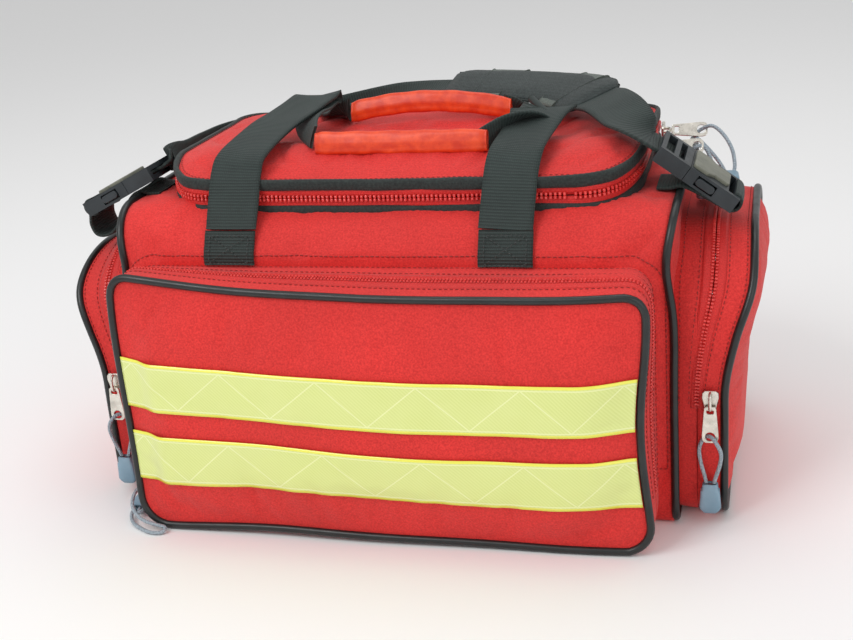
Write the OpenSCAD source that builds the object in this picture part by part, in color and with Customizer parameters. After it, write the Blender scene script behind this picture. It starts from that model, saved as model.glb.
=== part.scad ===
// Emergency trauma bag: a soft, duffle-shaped bag with a zipped lid, four zipped outer pockets,
// two webbing carry handles, reflective strips and a padded shoulder strap on side-release buckles.
// Origin: centre of the base on the ground. +X runs along the bag, -Y is the front, +Z is up.

/* [Main compartment] */
// Length of the main compartment between its end panels
body_len = 424; // [410:2:440]
// Depth of the main compartment from front wall to rear wall
body_depth = 246; // [240:2:252]
// Height of the top panel above the ground
body_top = 244; // [240:1:248]
// Radius of the long top edges at the front and the rear
shoulder_r = 34; // [30:1:38]
// Thickness of the padded walls
wall = 4; // [3:0.5:5]

/* [Lid] */
// Length of the lid
lid_len = 372; // [364:2:374]
// Distance of the lid's front edge from the middle of the bag
lid_front = 86; // [82:1:87]
// Distance of the lid's rear edge, its fold line, from the middle of the bag
lid_rear = 105; // [102:1:106]
// Height of the middle of the lid above the top panel
lid_rise = 32; // [31:1:34]

/* [Front and rear pockets] */
// Length of the long pockets
pocket_len = 400; // [390:2:404]
// Height of the long pockets' top edge
pocket_top = 204; // [200:1:205]
// Depth of the long pockets
pocket_depth = 49; // [44:1:52]
// Height of the fold line of the long pockets' covers
cover_fold = 38; // [34:1:40]

/* [End pockets] */
// Width of the end pockets
end_width = 224; // [216:2:228]
// Height of the end pockets' top edge
end_top = 222; // [216:1:223]
// Depth of the end pockets
end_depth = 52; // [46:1:52]
// Height of the fold line of the end pockets' covers
end_fold = 90; // [86:1:94]

/* [Trim] */
// Diameter of the piping
piping_d = 6; // [5:0.5:6.5]
// Width of the handle and strap webbing
web_w = 40; // [38:1:42]
// Thickness of the webbing
web_t = 2.4; // [2:0.2:2.6]
// Width of the reflective strips
strip_w = 40; // [36:1:42]
// Diameter of the cord on the zip pulls
cord_d = 3; // [2.5:0.5:3]

/* [Hidden] */
$fn = 48;

FABRIC = "#d8302c";
BLACK = "#2c3636";
TAPE = "#e02824";
METAL = "#c9c4b4";
REFLECTIVE = "#e9ee9a";
GRIP = "#dc3a14";
CORD = "#96a5af";
BOARD = "#3a3d40";

// Half sizes of the main compartment and the planes the pockets grow from
half_len = body_len / 2;
half_depth = body_depth / 2;
base_r = 8;
shoulder_y = half_depth - shoulder_r;
shoulder_z = body_top - shoulder_r;
piping_r = piping_d / 2;
gap = 0.6;

// Zips: tape width on each side, tape thickness, tooth chain width on each side and its height
tape_w = 8;
tape_t = 1.2;
chain_w = 2.2;
chain_t = 2.4;

// Long pockets: face plane, zip plane and corner radii, all measured from the middle of the bag
pocket_face = half_depth + pocket_depth;
pocket_zip = half_depth + pocket_depth / 2;
pocket_floor = 2;
pocket_r_top = 18;
pocket_r_low = 24;

// End pockets, in the same way along X
end_face = half_len + end_depth;
end_zip = half_len + end_depth / 2;
end_r_top = 78;
end_r_low = 24;

// Rim around the lid: heights of its bands above the ground
rim_binding_top = body_top + 8;
rim_zip = body_top + 14.5;
rim_tape_top = body_top + 21;
lid_edge = body_top + 29;
lid_top = body_top + lid_rise;
lid_r_front = 45;
lid_r_rear = 20;

// Where the handles are sewn on. The front handle sits a little left of the middle
handle_x = 105;
front_handle_x = 106.5;
front_handle_shift = -12;
web_gap = 0.4;

// ---- outlines and sweeps ----

function arc(cx, cy, r, a0, a1, n = 8) =
    [for (i = [0 : n]) [cx + r * cos(a0 + (a1 - a0) * i / n), cy + r * sin(a0 + (a1 - a0) * i / n)]];

// Rectangle with round corners: half width, low and high edge, corner radii, and growth outwards
function outline(hw, v0, v1, r_high, r_low, grow = 0) = concat(
    arc(hw - r_low, v0 + r_low, r_low + grow, -90, 0),
    arc(hw - r_high, v1 - r_high, r_high + grow, 0, 90),
    arc(-hw + r_high, v1 - r_high, r_high + grow, 90, 180),
    arc(-hw + r_low, v0 + r_low, r_low + grow, 180, 270));

function body_outline(grow = 0) = outline(half_depth, 0, body_top, shoulder_r, base_r, grow);
function pocket_outline(grow = 0) =
    outline(pocket_len / 2, pocket_floor, pocket_top, pocket_r_top, pocket_r_low, grow);
function end_outline(grow = 0) =
    outline(end_width / 2, pocket_floor, end_top, end_r_top, end_r_low, grow);
function lid_outline(grow = 0) =
    outline(lid_len / 2, -lid_front, lid_rear, lid_r_rear, lid_r_front, grow);

module slab(points, low, high) translate([0, 0, low]) linear_extrude(high - low) polygon(points);
module ring(outer, inner, low, high)
    translate([0, 0, low]) linear_extrude(high - low) difference() { polygon(outer); polygon(inner); }

// Frames that stand an outline up against the front, the rear, the right or the left of the bag:
// the outline's Z becomes the distance from the middle of the bag
module at_front() rotate([90, 0, 0]) children();
module at_rear() mirror([0, 1, 0]) at_front() children();
module at_right() rotate([90, 0, 90]) children();
module at_left() mirror([1, 0, 0]) at_right() children();

function unit(v) = v / norm(v);
function tangent(p, i) = unit(p[min(i + 1, len(p) - 1)] - p[max(i - 1, 0)]);
function square_to(v, t) = unit(v - (v * t) * t);

// Smooth curve through a list of points or vectors, with k steps between neighbours
function spline_point(p, i, f) =
    let (a = p[max(i - 1, 0)], b = p[i], c = p[i + 1], d = p[min(i + 2, len(p) - 1)])
    b + 0.5 * f * ((c - a) + f * ((2 * a - 5 * b + 4 * c - d) + f * (3 * (b - c) + d - a)));
function smooth(p, k) = concat([for (i = [0 : len(p) - 2], j = [0 : k - 1]) spline_point(p, i, j / k)],
    [p[len(p) - 1]]);

module skin(rings) {
    m = len(rings[0]);
    last = (len(rings) - 1) * m;
    sides = [for (i = [0 : len(rings) - 2], j = [0 : m - 1])
        [i * m + j, i * m + (j + 1) % m, (i + 1) * m + (j + 1) % m, (i + 1) * m + j]];
    caps = [[for (j = [m - 1 : -1 : 0]) j], [for (j = [0 : m - 1]) last + j]];
    polyhedron([for (r = rings) each r], concat(sides, caps));
}

// Flat webbing along a route; each route point has the direction of the webbing's width there.
// The width is one number, or one for each route point where the webbing is folded narrower
module webbing(route, across, width, thick, k = 3) {
    p = smooth(route, k);
    w = smooth(across, k);
    h = smooth([for (i = [0 : len(route) - 1]) (is_list(width) ? width[i] : width) / 2], k);
    skin([for (i = [0 : len(p) - 1])
        let (t = tangent(p, i), s = square_to(w[i], t), u = cross(t, s))
        [p[i] + s * h[i] + u * thick / 2, p[i] + s * h[i] - u * thick / 2,
         p[i] - s * h[i] - u * thick / 2, p[i] - s * h[i] + u * thick / 2]]);
}

// Round cord along a route, its rings turned as little as possible from one to the next
module cord(route, start_side, sides = 8, k = 2) {
    p = smooth(route, k);
    turned = [for (i = 0, n = square_to(start_side, tangent(p, 0)); i < len(p);
        i = i + 1, n = square_to(n, tangent(p, min(i, len(p) - 1)))) n];
    skin([for (i = [0 : len(p) - 1])
        let (t = tangent(p, i), n = turned[i], b = cross(t, n))
        [for (j = [0 : sides - 1]) p[i] + cord_d / 2 * (cos(-j * 360 / sides) * n + sin(-j * 360 / sides) * b)]]);
}

// ---- main compartment ----

module main_shell() color(FABRIC) difference() {
    at_right() slab(body_outline(), -half_len, half_len);
    at_right() slab(body_outline(-wall), -half_len + wall, half_len - wall);
    slab(lid_outline(-6), body_top - 3 * wall, body_top + 1);
}

board_gap = 1;
board_t = 4;
module base_board() color(BOARD)
    translate([-half_len + wall + board_gap, -half_depth + base_r, wall + 0.2])
        cube([body_len - 2 * (wall + board_gap), body_depth - 2 * base_r, board_t]);

divider_x = 70;
divider_t = 6;
divider_h = 150;
module dividers() color(BOARD)
    for (x = [-divider_x, divider_x])
        translate([x - divider_t / 2, -half_depth + base_r, wall + board_t + 0.4])
            cube([divider_t, body_depth - 2 * base_r, divider_h]);

// Piping laid along an outline, in the outline's own plane
module piping_loop(hw, v0, v1, r_high, r_low) {
    for (s = [-1, 1]) {
        translate([s * hw, v0 + r_low, 0]) rotate([-90, 0, 0]) cylinder(v1 - v0 - r_high - r_low, r = piping_r);
        translate([s * (hw - r_high), v1 - r_high, 0]) rotate([0, 0, s > 0 ? 0 : 90])
            rotate_extrude(angle = 90) translate([r_high, 0]) circle(piping_r, $fn = 24);
        translate([s * (hw - r_low), v0 + r_low, 0]) rotate([0, 0, s > 0 ? -90 : 180])
            rotate_extrude(angle = 90) translate([r_low, 0]) circle(piping_r, $fn = 24);
    }
    for (e = [[v1, r_high], [v0, r_low]])
        translate([-hw + e[1], e[0], 0]) rotate([0, 90, 0]) cylinder(2 * (hw - e[1]), r = piping_r);
}

// Piping of a long pocket and of an end pocket: it stands on the corner of the face
module pocket_piping_loop() translate([0, 0, pocket_face])
    piping_loop(pocket_len / 2, pocket_floor + piping_r, pocket_top, pocket_r_top, pocket_r_low);
module end_piping_loop() translate([0, 0, end_face])
    piping_loop(end_width / 2, pocket_floor + piping_r, end_top, end_r_top, end_r_low);

big = 600;
module below(height) intersection() {
    children();
    translate([-big / 2, -big + height - gap / 2, 0]) cube([big, big, big]);
}
module above(height) intersection() {
    children();
    translate([-big / 2, height + gap / 2, 0]) cube([big, big, big]);
}

module bag_piping() color(BLACK) {
    for (s = [-1, 1]) translate([s * (half_len + piping_r - 1), 0, 0]) rotate([90, 0, 90])
        piping_loop(half_depth + 1, piping_r, body_top + 1, shoulder_r + 1, base_r + piping_r);
    at_front() below(cover_fold) pocket_piping_loop();
    at_rear() below(cover_fold) pocket_piping_loop();
    at_right() below(end_fold) end_piping_loop();
    at_left() below(end_fold) end_piping_loop();
}

module opening_binding() color(BLACK)
    ring(lid_outline(1.5), lid_outline(-3), body_top, rim_binding_top);

// One half of a zip around an outline: the tape, and half of the tooth chain along its edge
module zip_half(outer, chain, inner, edge, side) {
    ring(outer, inner, min(edge, edge + side * tape_w), max(edge, edge + side * tape_w));
    ring(chain, outer, min(edge, edge + side * chain_w), max(edge, edge + side * chain_w));
}
module pocket_zip_half(side) above(cover_fold + 2)
    zip_half(pocket_outline(tape_t), pocket_outline(chain_t), pocket_outline(),
        pocket_zip + side * gap / 2, side);
module end_zip_half(side) above(end_fold + 2)
    zip_half(end_outline(tape_t), end_outline(chain_t), end_outline(), end_zip + side * gap / 2, side);

module zip_tapes() color(TAPE) {
    at_front() pocket_zip_half(-1);
    at_rear() pocket_zip_half(-1);
    at_right() end_zip_half(-1);
    at_left() end_zip_half(-1);
    ring(lid_outline(), lid_outline(-2), rim_binding_top, rim_zip - gap / 2);
    ring(lid_outline(1.4), lid_outline(), rim_zip - chain_w, rim_zip - gap / 2);
}

// ---- pockets: a hollow tray, cut into a fixed tub and a cover that folds down ----

pocket_wall = 3;
module tray(outer, inner, back, face) difference() {
    slab(outer, back, face);
    slab(inner, back - 1, face - pocket_wall);
}
module pocket_tray() tray(pocket_outline(), pocket_outline(-pocket_wall), half_depth, pocket_face);
module end_tray() tray(end_outline(), end_outline(-pocket_wall), half_len, end_face);

module tub(zip, fold) difference() {
    children();
    translate([-big / 2, fold - gap / 2, zip - gap / 2]) cube([big, big, big]);
}
module cover(zip, fold) intersection() {
    children();
    translate([-big / 2, fold + gap / 2, zip + gap / 2]) cube([big, big, big]);
}

module front_pocket() color(FABRIC) at_front() tub(pocket_zip, cover_fold) pocket_tray();
module rear_pocket() color(FABRIC) at_rear() tub(pocket_zip, cover_fold) pocket_tray();
module right_pocket() color(FABRIC) at_right() tub(end_zip, end_fold) end_tray();
module left_pocket() color(FABRIC) at_left() tub(end_zip, end_fold) end_tray();

module front_panel() color(FABRIC) at_front() cover(pocket_zip, cover_fold) pocket_tray();
module rear_panel() color(FABRIC) at_rear() cover(pocket_zip, cover_fold) pocket_tray();
module right_panel() color(FABRIC) at_right() cover(end_zip, end_fold) end_tray();
module left_panel() color(FABRIC) at_left() cover(end_zip, end_fold) end_tray();

module front_piping() color(BLACK) at_front() above(cover_fold) pocket_piping_loop();
module rear_piping() color(BLACK) at_rear() above(cover_fold) pocket_piping_loop();
module right_piping() color(BLACK) at_right() above(end_fold) end_piping_loop();
module left_piping() color(BLACK) at_left() above(end_fold) end_piping_loop();

module front_zip() color(TAPE) at_front() pocket_zip_half(1);
module rear_zip() color(TAPE) at_rear() pocket_zip_half(1);
module right_zip() color(TAPE) at_right() end_zip_half(1);
module left_zip() color(TAPE) at_left() end_zip_half(1);

strip_t = 0.8;
upper_strip_z = 103;
lower_strip_z = 42;
module strip(z) color(REFLECTIVE)
    translate([-pocket_len / 2 + piping_r, -pocket_face - strip_t, z])
        cube([pocket_len - 2 * piping_r, strip_t, strip_w]);
module upper_strip() strip(upper_strip_z);
module lower_strip() strip(lower_strip_z);

// ---- lid ----

module dome(grow, drop) hull() {
    slab(lid_outline(grow), rim_tape_top, lid_edge - drop);
    slab(lid_outline(grow - 30), lid_edge - drop, lid_top - drop);
}
module lid_panel() color(FABRIC) difference() {
    dome(0, 0);
    dome(-pocket_wall, pocket_wall);
    slab(lid_outline(-pocket_wall), rim_tape_top - 1, rim_tape_top + 1);
}
module lid_binding() color(BLACK)
    ring(lid_outline(1.8), lid_outline(), rim_tape_top, lid_edge);
module lid_zip() color(TAPE) {
    ring(lid_outline(), lid_outline(-2), rim_zip + gap / 2, rim_tape_top);
    ring(lid_outline(1.4), lid_outline(), rim_zip + gap / 2, rim_zip + chain_w);
}

// ---- carry handles ----

// A point on the round shoulder of the bag: angle up from level, distance off the fabric
function on_shoulder(x, side, a, off) =
    [x, side * (shoulder_y + (shoulder_r + off) * cos(a)), shoulder_z + (shoulder_r + off) * sin(a)];
function tail_route(x, side, top) =
    concat([for (a = [-6 : 9 : 30]) on_shoulder(x, side, a, web_t / 2 + web_gap)], top);
ACROSS = [1, 0, 0];
function level(n) = [for (i = [1 : n]) ACROSS];

module front_handle_tails() color(BLACK) for (s = [-1, 1]) {
    r = tail_route(front_handle_shift + s * front_handle_x, -1, []);
    webbing(r, level(len(r)), web_w, web_t);
}
module rear_handle_tails() color(BLACK) for (s = [-1, 1]) {
    r = tail_route(s * handle_x, 1, [[s * handle_x, 113.5, 240.5], [s * handle_x, fold_y, rim_zip - 1]]);
    webbing(r, level(len(r)), web_w, web_t);
}

fold_y = lid_rear + 4.3;
// Front handle: each side leans back over the lid, folds under itself and comes forward to the grip
front_left_route = [[-118, -118, 230.5], [-118, -107, 250], [-118, -95.5, 268], [-113, -79, 281], [-101, -30, 290],
    [-96, 10, 297], [-93, 32, 301], [-91, 39, 299], [-92, 32, 294], [-89, 10, 290], [-80, -25, 288.5], [-68, -58, 286.5]];
front_left_across = [[1, 0, 0], [1, 0.05, 0], [1, 0.05, 0], [1, -0.05, 0], [1, -0.1, 0], [1, -0.1, 0], [1, 0, 0],
    [1, 0.1, 0], [1, 0.2, 0.1], [0.9, 0.3, 0.3], [0.6, 0.3, 0.7], [0.3, 0.1, 1]];
front_right_route = [[94, -118, 230.5], [96, -107, 250], [99, -95.5, 268], [103, -80, 280.5], [110, -35, 289],
    [111, -7, 297], [109, 7, 301], [108, 14, 299], [107, 7, 295], [97, -12, 291.5], [82, -36, 288.5], [68, -58, 286.5]];
// The webbing is folded lengthwise where it goes into the grip
front_width = concat([for (i = [1 : 8]) web_w], [0.9, 0.8, 0.65, 0.45] * web_w);
front_right_across = [[1, 0, 0], [1, 0, 0], [1, 0, 0], [1, 0, 0], [1, 0, 0], [1, 0.1, 0], [1, 0.1, 0],
    [1, -0.1, 0], [1, -0.2, 0.1], [0.9, -0.2, 0.3], [0.6, -0.3, 0.7], [0.3, -0.1, 1]];
module front_handle_webbing() color(BLACK) {
    webbing(front_left_route, front_left_across, front_width, web_t);
    webbing(front_right_route, front_right_across, front_width, web_t);
}

grip_h = 20;
grip_t = 8;
grip_half = 68;
// Grip sleeve: a flattened tube on edge, bowed upwards in the middle
module grip(y, z, rise) {
    route = [for (i = [-2 : 2]) [i * grip_half / 2, y, z + rise * (1 - i * i / 4)]];
    webbing(route, [for (i = [1 : 5]) [0, 0.35, 1]], grip_h, grip_t, 2);
}
module front_handle_grip() color(GRIP) grip(-60, 287, 0);
module rear_handle_grip() color(GRIP) grip(36, 287.5, 7);

// Rear handle: from the lid's fold line over the lid to the rear grip
rear_route = [[105, 109.3, 259.5], [105, 109.6, 269], [104, 106, 277], [100, 94, 278.2], [93, 74, 278],
    [82, 53, 279], [68, 37, 287.5]];
rear_across = [[1, 0, 0], [1, 0, 0], [1, 0, 0], [1, -0.2, 0], [1, -0.5, 0], [0.9, -0.5, 0.05], [0.1, 0.3, 1]];
rear_width = [0.9, 0.9, 0.9, 0.85, 0.7, 0.5, 0.45] * web_w;
function flip_x(list) = [for (p = list) [-p[0], p[1], p[2]]];
module rear_handle_webbing() color(BLACK) {
    webbing(rear_route, rear_across, rear_width, web_t);
    webbing(flip_x(rear_route), flip_x(rear_across), rear_width, web_t);
}

// ---- shoulder strap ----

// Buckle frame: X points from the socket's outer bar towards the strap, Z is up off the bag
buckle_y = -50;
buckle_w = 52;
buckle_t = 12;
buckle_half = 34;
right_buckle = [226, buckle_y, 254];
left_buckle = [-231, buckle_y, 248.5];
right_tilt = 36;
left_tilt = 26;
module at_right_buckle() translate(right_buckle) rotate([0, -right_tilt, 180]) children();
module at_left_buckle() translate(left_buckle) rotate([0, -left_tilt, 0]) children();
// Point on a buckle's centre line, x from its middle towards the strap; side is 1 on the right
function on_buckle(centre, tilt, side, x) = centre + [-side * x * cos(tilt), 0, x * sin(tilt)];

socket_len = 42;
slot_l = 5;
bar_l = 5;
play = 0.4;
buckle_wall = 3;
// Socket: an open-ended box that takes the plug's prongs, with a webbing slot at its outer end
module socket() {
    x0 = -buckle_half;
    difference() {
        translate([x0, -buckle_w / 2, -buckle_t / 2]) cube([socket_len, buckle_w, buckle_t]);
        translate([x0 + bar_l, -web_w / 2 - 2, -buckle_t]) cube([slot_l, web_w + 4, 2 * buckle_t]);
        translate([x0 + 15, -buckle_w / 2 + buckle_wall, -buckle_t / 2 + buckle_wall])
            cube([socket_len, buckle_w - 2 * buckle_wall, buckle_t - 2 * buckle_wall]);
        for (s = [-1, 1]) translate([x0 + 18, s * (buckle_w / 2) - 5, -buckle_t / 2 + 2])
            cube([16, 10, buckle_t - 4]);
    }
}
// Plug: a guide tongue and two side prongs, and a ladder lock for the strap webbing
module plug() {
    x0 = socket_len - buckle_half + play;
    inner_w = buckle_w - 2 * (buckle_wall + play);
    inner_t = buckle_t - 2 * (buckle_wall + play);
    prong_w = 6;
    tongue_w = 8;
    for (s = [-1, 1]) translate([x0 - 22, s * (inner_w - prong_w) / 2 - prong_w / 2, -inner_t / 2])
        cube([23, prong_w, inner_t]);
    translate([x0 - 18, -tongue_w / 2, -inner_t / 2]) cube([19, tongue_w, inner_t]);
    difference() {
        translate([x0, -buckle_w / 2, -buckle_t / 2]) cube([buckle_half - x0, buckle_w, buckle_t]);
        translate([x0 + 4, -web_w / 2 - 1, -web_t / 2 - 1]) cube([buckle_half, web_w + 2, web_t + 2]);
        translate([x0 + 6, -web_w / 2 - 1, -buckle_t]) cube([5, web_w + 2, 2 * buckle_t]);
        translate([x0 + 15, -web_w / 2 - 1, -buckle_t]) cube([7, web_w + 2, 2 * buckle_t]);
    }
}
module buckle_sockets() color(BLACK) {
    at_right_buckle() socket();
    at_left_buckle() socket();
}
module right_buckle_plug() color(BLACK) at_right_buckle() plug();
module left_buckle_plug() color(BLACK) at_left_buckle() plug();

// Webbing loop round the socket's outer bar
loop_r = 6.3;
module anchor_loop() translate([-buckle_half + bar_l / 2, web_w / 2, 0]) rotate([90, 0, 0]) difference() {
    cylinder(web_w, r = loop_r + web_t / 2);
    translate([0, 0, -1]) cylinder(web_w + 2, r = loop_r - web_t / 2);
    translate([1.5, -buckle_t, -1]) cube([buckle_t, 2 * buckle_t, web_w + 2]);
}
module anchor_loops() color(BLACK) {
    at_right_buckle() anchor_loop();
    at_left_buckle() anchor_loop();
}

// Sewn ends of the strap's anchors on the top panel
module strap_anchors() color(BLACK) for (s = [-1, 1])
    translate([s * (half_len - 8) - 8, buckle_y - web_w / 2, body_top]) cube([16, web_w, web_t]);

// The strap leaves the right buckle straight, arches over the lid's corner to the pad, runs behind
// the lid and comes forward beside it to the left buckle
pad_start = [142, 23, 295];
pad_stop = [8, 95, 294];
right_run = concat([for (x = [16, 34, 46]) on_buckle(right_buckle, right_tilt, 1, x)],
    [[178, -42, 289], [166, -20, 295], [154, 2, 297], pad_start]);
right_run_across = [[0, 1, 0], [0, 1, 0], [0.05, 1, 0.05], [0.3, 0.9, 0.2], [0.6, 0.7, 0.25], [0.7, 0.65, 0.25],
    [0.7, 0.65, 0.25]];
pad_run = [pad_start, [123, 49, 295], [96, 70, 295.5], [54, 87, 295], pad_stop];
pad_across = [[0.7, 0.65, 0.3], [0.6, 0.75, 0.3], [0.5, 0.85, 0.22], [0.35, 0.9, 0.22], [0.2, 0.95, 0.3]];
left_run = concat([pad_stop, [-25, 106, 289], [-60, 114, 282], [-120, 117, 270], [-172, 114, 260], [-200, 92, 258],
    [-207, 45, 259], [-203, 5, 262], [-198.5, -22, 267], [-195, -42, 268.5]],
    [for (x = [41, 34, 16]) on_buckle(left_buckle, left_tilt, -1, x)]);
left_run_across = [[0.2, 0.95, 0.3], [0, 0.8, 0.6], [0, 0.3, 1], [0, 0, 1], [0, 0, 1], [0, 0, 1], [0, 0, 1],
    [0, 0, 1], [-0.2, 0.1, 1], [-0.2, 0.95, 0.2], [0, 1, 0], [0, 1, 0], [0, 1, 0]];
module strap_webbing() color(BLACK) {
    webbing(right_run, right_run_across, web_w, web_t);
    webbing(left_run, left_run_across, web_w / 2, web_t);
}
pad_w = 56;
pad_t = 9;
module strap_pad() color(BLACK) webbing(pad_run, pad_across, pad_w, pad_t);
band_w = 3;
module strap_pad_bands() color("#5d6b6a") for (i = [1, 3])
    webbing([for (f = [-0.2, 0, 0.2]) spline_point(pad_run, f < 0 ? i - 1 : i, f < 0 ? 1 + f : f)],
        [for (f = [0 : 2]) pad_across[i]], pad_w + band_w, pad_t + band_w, 2);

// ---- zip sliders, pull tabs and cords ----

// Slider frame: Y points out from the tape, Z runs along the zip, the tab hangs towards -Z
slider_l = 16;
slider_w = 12;
slider_low = 2.8;
slider_high = 6.8;
pivot_y = 9;
module slider() {
    translate([-slider_w / 2, slider_low, -slider_l / 2]) cube([slider_w, slider_high - slider_low, slider_l]);
    difference() {
        translate([-1.3, slider_high, -6.5]) cube([2.6, 5.4, 13]);
        translate([-3, slider_high, -4.5]) cube([6, 3.9, 9]);
    }
}

tab_len = 32;
tab_w = 12;
tab_t = 1.6;
hole_at = 27;
hole_r = 3.5;
module tab() translate([0, pivot_y, 0]) {
    translate([-4.5, 0, 0]) rotate([0, 90, 0]) cylinder(9, r = 1.2);
    rotate([90, 0, 0]) translate([0, 0, -tab_t / 2]) linear_extrude(tab_t) {
        for (s = [-1, 1]) translate([s * 3.55 - 0.95, -8]) square([1.9, 8]);
        difference() {
            union() {
                polygon([[-4.5, -7.6], [4.5, -7.6], [tab_w / 2, 4 - tab_len], [-tab_w / 2, 4 - tab_len]]);
                translate([-tab_w / 2, 4 - tab_len]) square([tab_w, 3]);
                translate([-tab_w / 2 + 4, -tab_len]) square([tab_w - 8, 5]);
                for (s = [-1, 1]) translate([s * (tab_w / 2 - 4), 4 - tab_len]) circle(4);
            }
            translate([0, -hole_at]) circle(hole_r);
        }
    }
}

end_len = 24;
end_w = 16;
end_neck = 11;
end_t = 8;
// Moulded cord end: its neck is at the origin and it widens towards -Z
module cord_end() rotate([90, 0, 0]) translate([0, 0, -end_t / 2]) linear_extrude(end_t)
    polygon([[-end_neck / 2, 0], [end_neck / 2, 0], [end_w / 2, -end_len + 4], [end_w / 2 - 3, -end_len],
        [-end_w / 2 + 3, -end_len], [-end_w / 2, -end_len + 4]]);

// Hanging loop, measured from the hole in the tab: down one side, through the hole, down the other
loop_drop = 38;
hanging_route = [[-2.5, 0, -40], [-4, 1, -33], [-7, 2.5, -22], [-8, 4, -12], [-5, 4.5, -4], [0, 0, 0],
    [5, -4.5, -4], [8, -4, -12], [7, -2.5, -22], [4, -1, -33], [2.5, 0, -40]];
module hanging_pull() {
    tab();
    translate([0, pivot_y, -hole_at - loop_drop]) cord_end();
}
module hanging_cord() translate([0, pivot_y, -hole_at]) cord(hanging_route, [0, 1, 0]);

end_slider_z = 100;
module at_right_zip() translate([end_zip, -end_width / 2, end_slider_z]) rotate([0, 0, 180]) children();
module at_left_zip() mirror([1, 0, 0]) at_right_zip() children();
module right_slider() color(METAL) at_right_zip() slider();
module right_pull() color(METAL) at_right_zip() hanging_pull();
module right_cord() color(CORD) at_right_zip() hanging_cord();
module left_slider() color(METAL) at_left_zip() slider();
module left_pull() color(METAL) at_left_zip() hanging_pull();
module left_cord() color(CORD) at_left_zip() hanging_cord();

// Front pocket: the tab hangs beside the pocket's lower corner and the cord lies on the ground
front_slider_z = 50;
module at_front_zip() translate([-pocket_len / 2, -pocket_zip, front_slider_z]) rotate([0, 0, 90]) children();
ground_route = [[-218, -154, 5.4], [-217, -163, 4.4], [-211, -173, 3], [-201, -180, 2], [-190, -185, 2],
    [-181, -184, 2.4], [-180, -180, 4.5], [-189, -179.7, 6.5], [-201, -178, 10], [-211, -170, 16], [-213.5, -157, 22],
    [-209, -147.5, 23], [-204.9, -147.5, 20], [-204.8, -152, 13], [-207, -159, 8], [-211, -161, 5.8],
    [-214, -154, 5.4]];
module at_far_side() rotate([0, 0, 180]) children();
module front_pull_parts() {
    at_front_zip() tab();
    translate([-216, -155, 5.4]) rotate([90, 0, 0]) cord_end();
}
module front_slider() color(METAL) at_front_zip() slider();
module front_pull() color(METAL) front_pull_parts();
module front_cord() color(CORD) cord(ground_route, [1, 0, 0]);
module rear_slider() color(METAL) at_far_side() at_front_zip() slider();
module rear_pull() color(METAL) at_far_side() front_pull_parts();
module rear_cord() color(CORD) at_far_side() cord(ground_route, [1, 0, 0]);

// Lid zip: both sliders are parked at the right end, their tabs stand out and their cords drape down
lid_slider_a_y = 66;
lid_slider_b_y = 8;
tab_twist = -25;
module at_lid_zip(y) translate([lid_len / 2, y, rim_zip]) rotate([90, 0, 90]) rotate([90, 0, 90]) children();
module raised_tab() translate([0, pivot_y, 0]) rotate([0, tab_twist, 0]) rotate([90, 0, 0])
    translate([0, -pivot_y, 0]) tab();
end_rest_z = end_top + 7;
lid_route_a = [[248.5, 32, 229], [249.5, 38, 236], [247, 45, 247], [240, 53, 257], [231, 60, 262.5], [222, 66, 258.5],
    [217, 67, 253], [222, 60, 250], [231, 50, 243], [238, 42, 236], [243.5, 32, 229]];
lid_route_b = [[233.5, -4, 229], [234.5, 2, 237], [232.5, 7, 248], [228, 9, 257], [222, 8, 258.5], [217.5, 9, 253],
    [220, 6, 247], [224, 2, 237], [228.5, -4, 229]];
module lid_slider_a() color(METAL) at_lid_zip(lid_slider_a_y) slider();
module lid_slider_b() color(METAL) at_lid_zip(lid_slider_b_y) slider();
module lid_pull_a() color(METAL) {
    at_lid_zip(lid_slider_a_y) raised_tab();
    translate([246, 33, end_rest_z]) rotate([-90, 0, 0]) cord_end();
}
module lid_pull_b() color(METAL) {
    at_lid_zip(lid_slider_b_y) raised_tab();
    translate([231, -3, end_rest_z]) rotate([-90, 0, 0]) cord_end();
}
module lid_cord_a() color(CORD) cord(lid_route_a, [1, 0, 0]);
module lid_cord_b() color(CORD) cord(lid_route_b, [1, 0, 0]);

main_shell();
base_board();
dividers();
bag_piping();
opening_binding();
zip_tapes();
front_pocket();
rear_pocket();
left_pocket();
right_pocket();
front_handle_tails();
rear_handle_tails();
strap_anchors();
lid_panel();
lid_binding();
lid_zip();
front_panel();
front_piping();
front_zip();
upper_strip();
lower_strip();
rear_panel();
rear_piping();
rear_zip();
left_panel();
left_piping();
left_zip();
right_panel();
right_piping();
right_zip();
front_handle_webbing();
front_handle_grip();
rear_handle_webbing();
rear_handle_grip();
strap_webbing();
strap_pad();
strap_pad_bands();
buckle_sockets();
anchor_loops();
left_buckle_plug();
right_buckle_plug();
front_slider();
front_pull();
front_cord();
rear_slider();
rear_pull();
rear_cord();
left_slider();
left_pull();
left_cord();
right_slider();
right_pull();
right_cord();
lid_slider_a();
lid_pull_a();
lid_cord_a();
lid_slider_b();
lid_pull_b();
lid_cord_b();
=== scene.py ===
import math

import bmesh
import bpy
import numpy as np
from mathutils import Matrix, Vector
from mathutils.bvhtree import BVHTree


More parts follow.
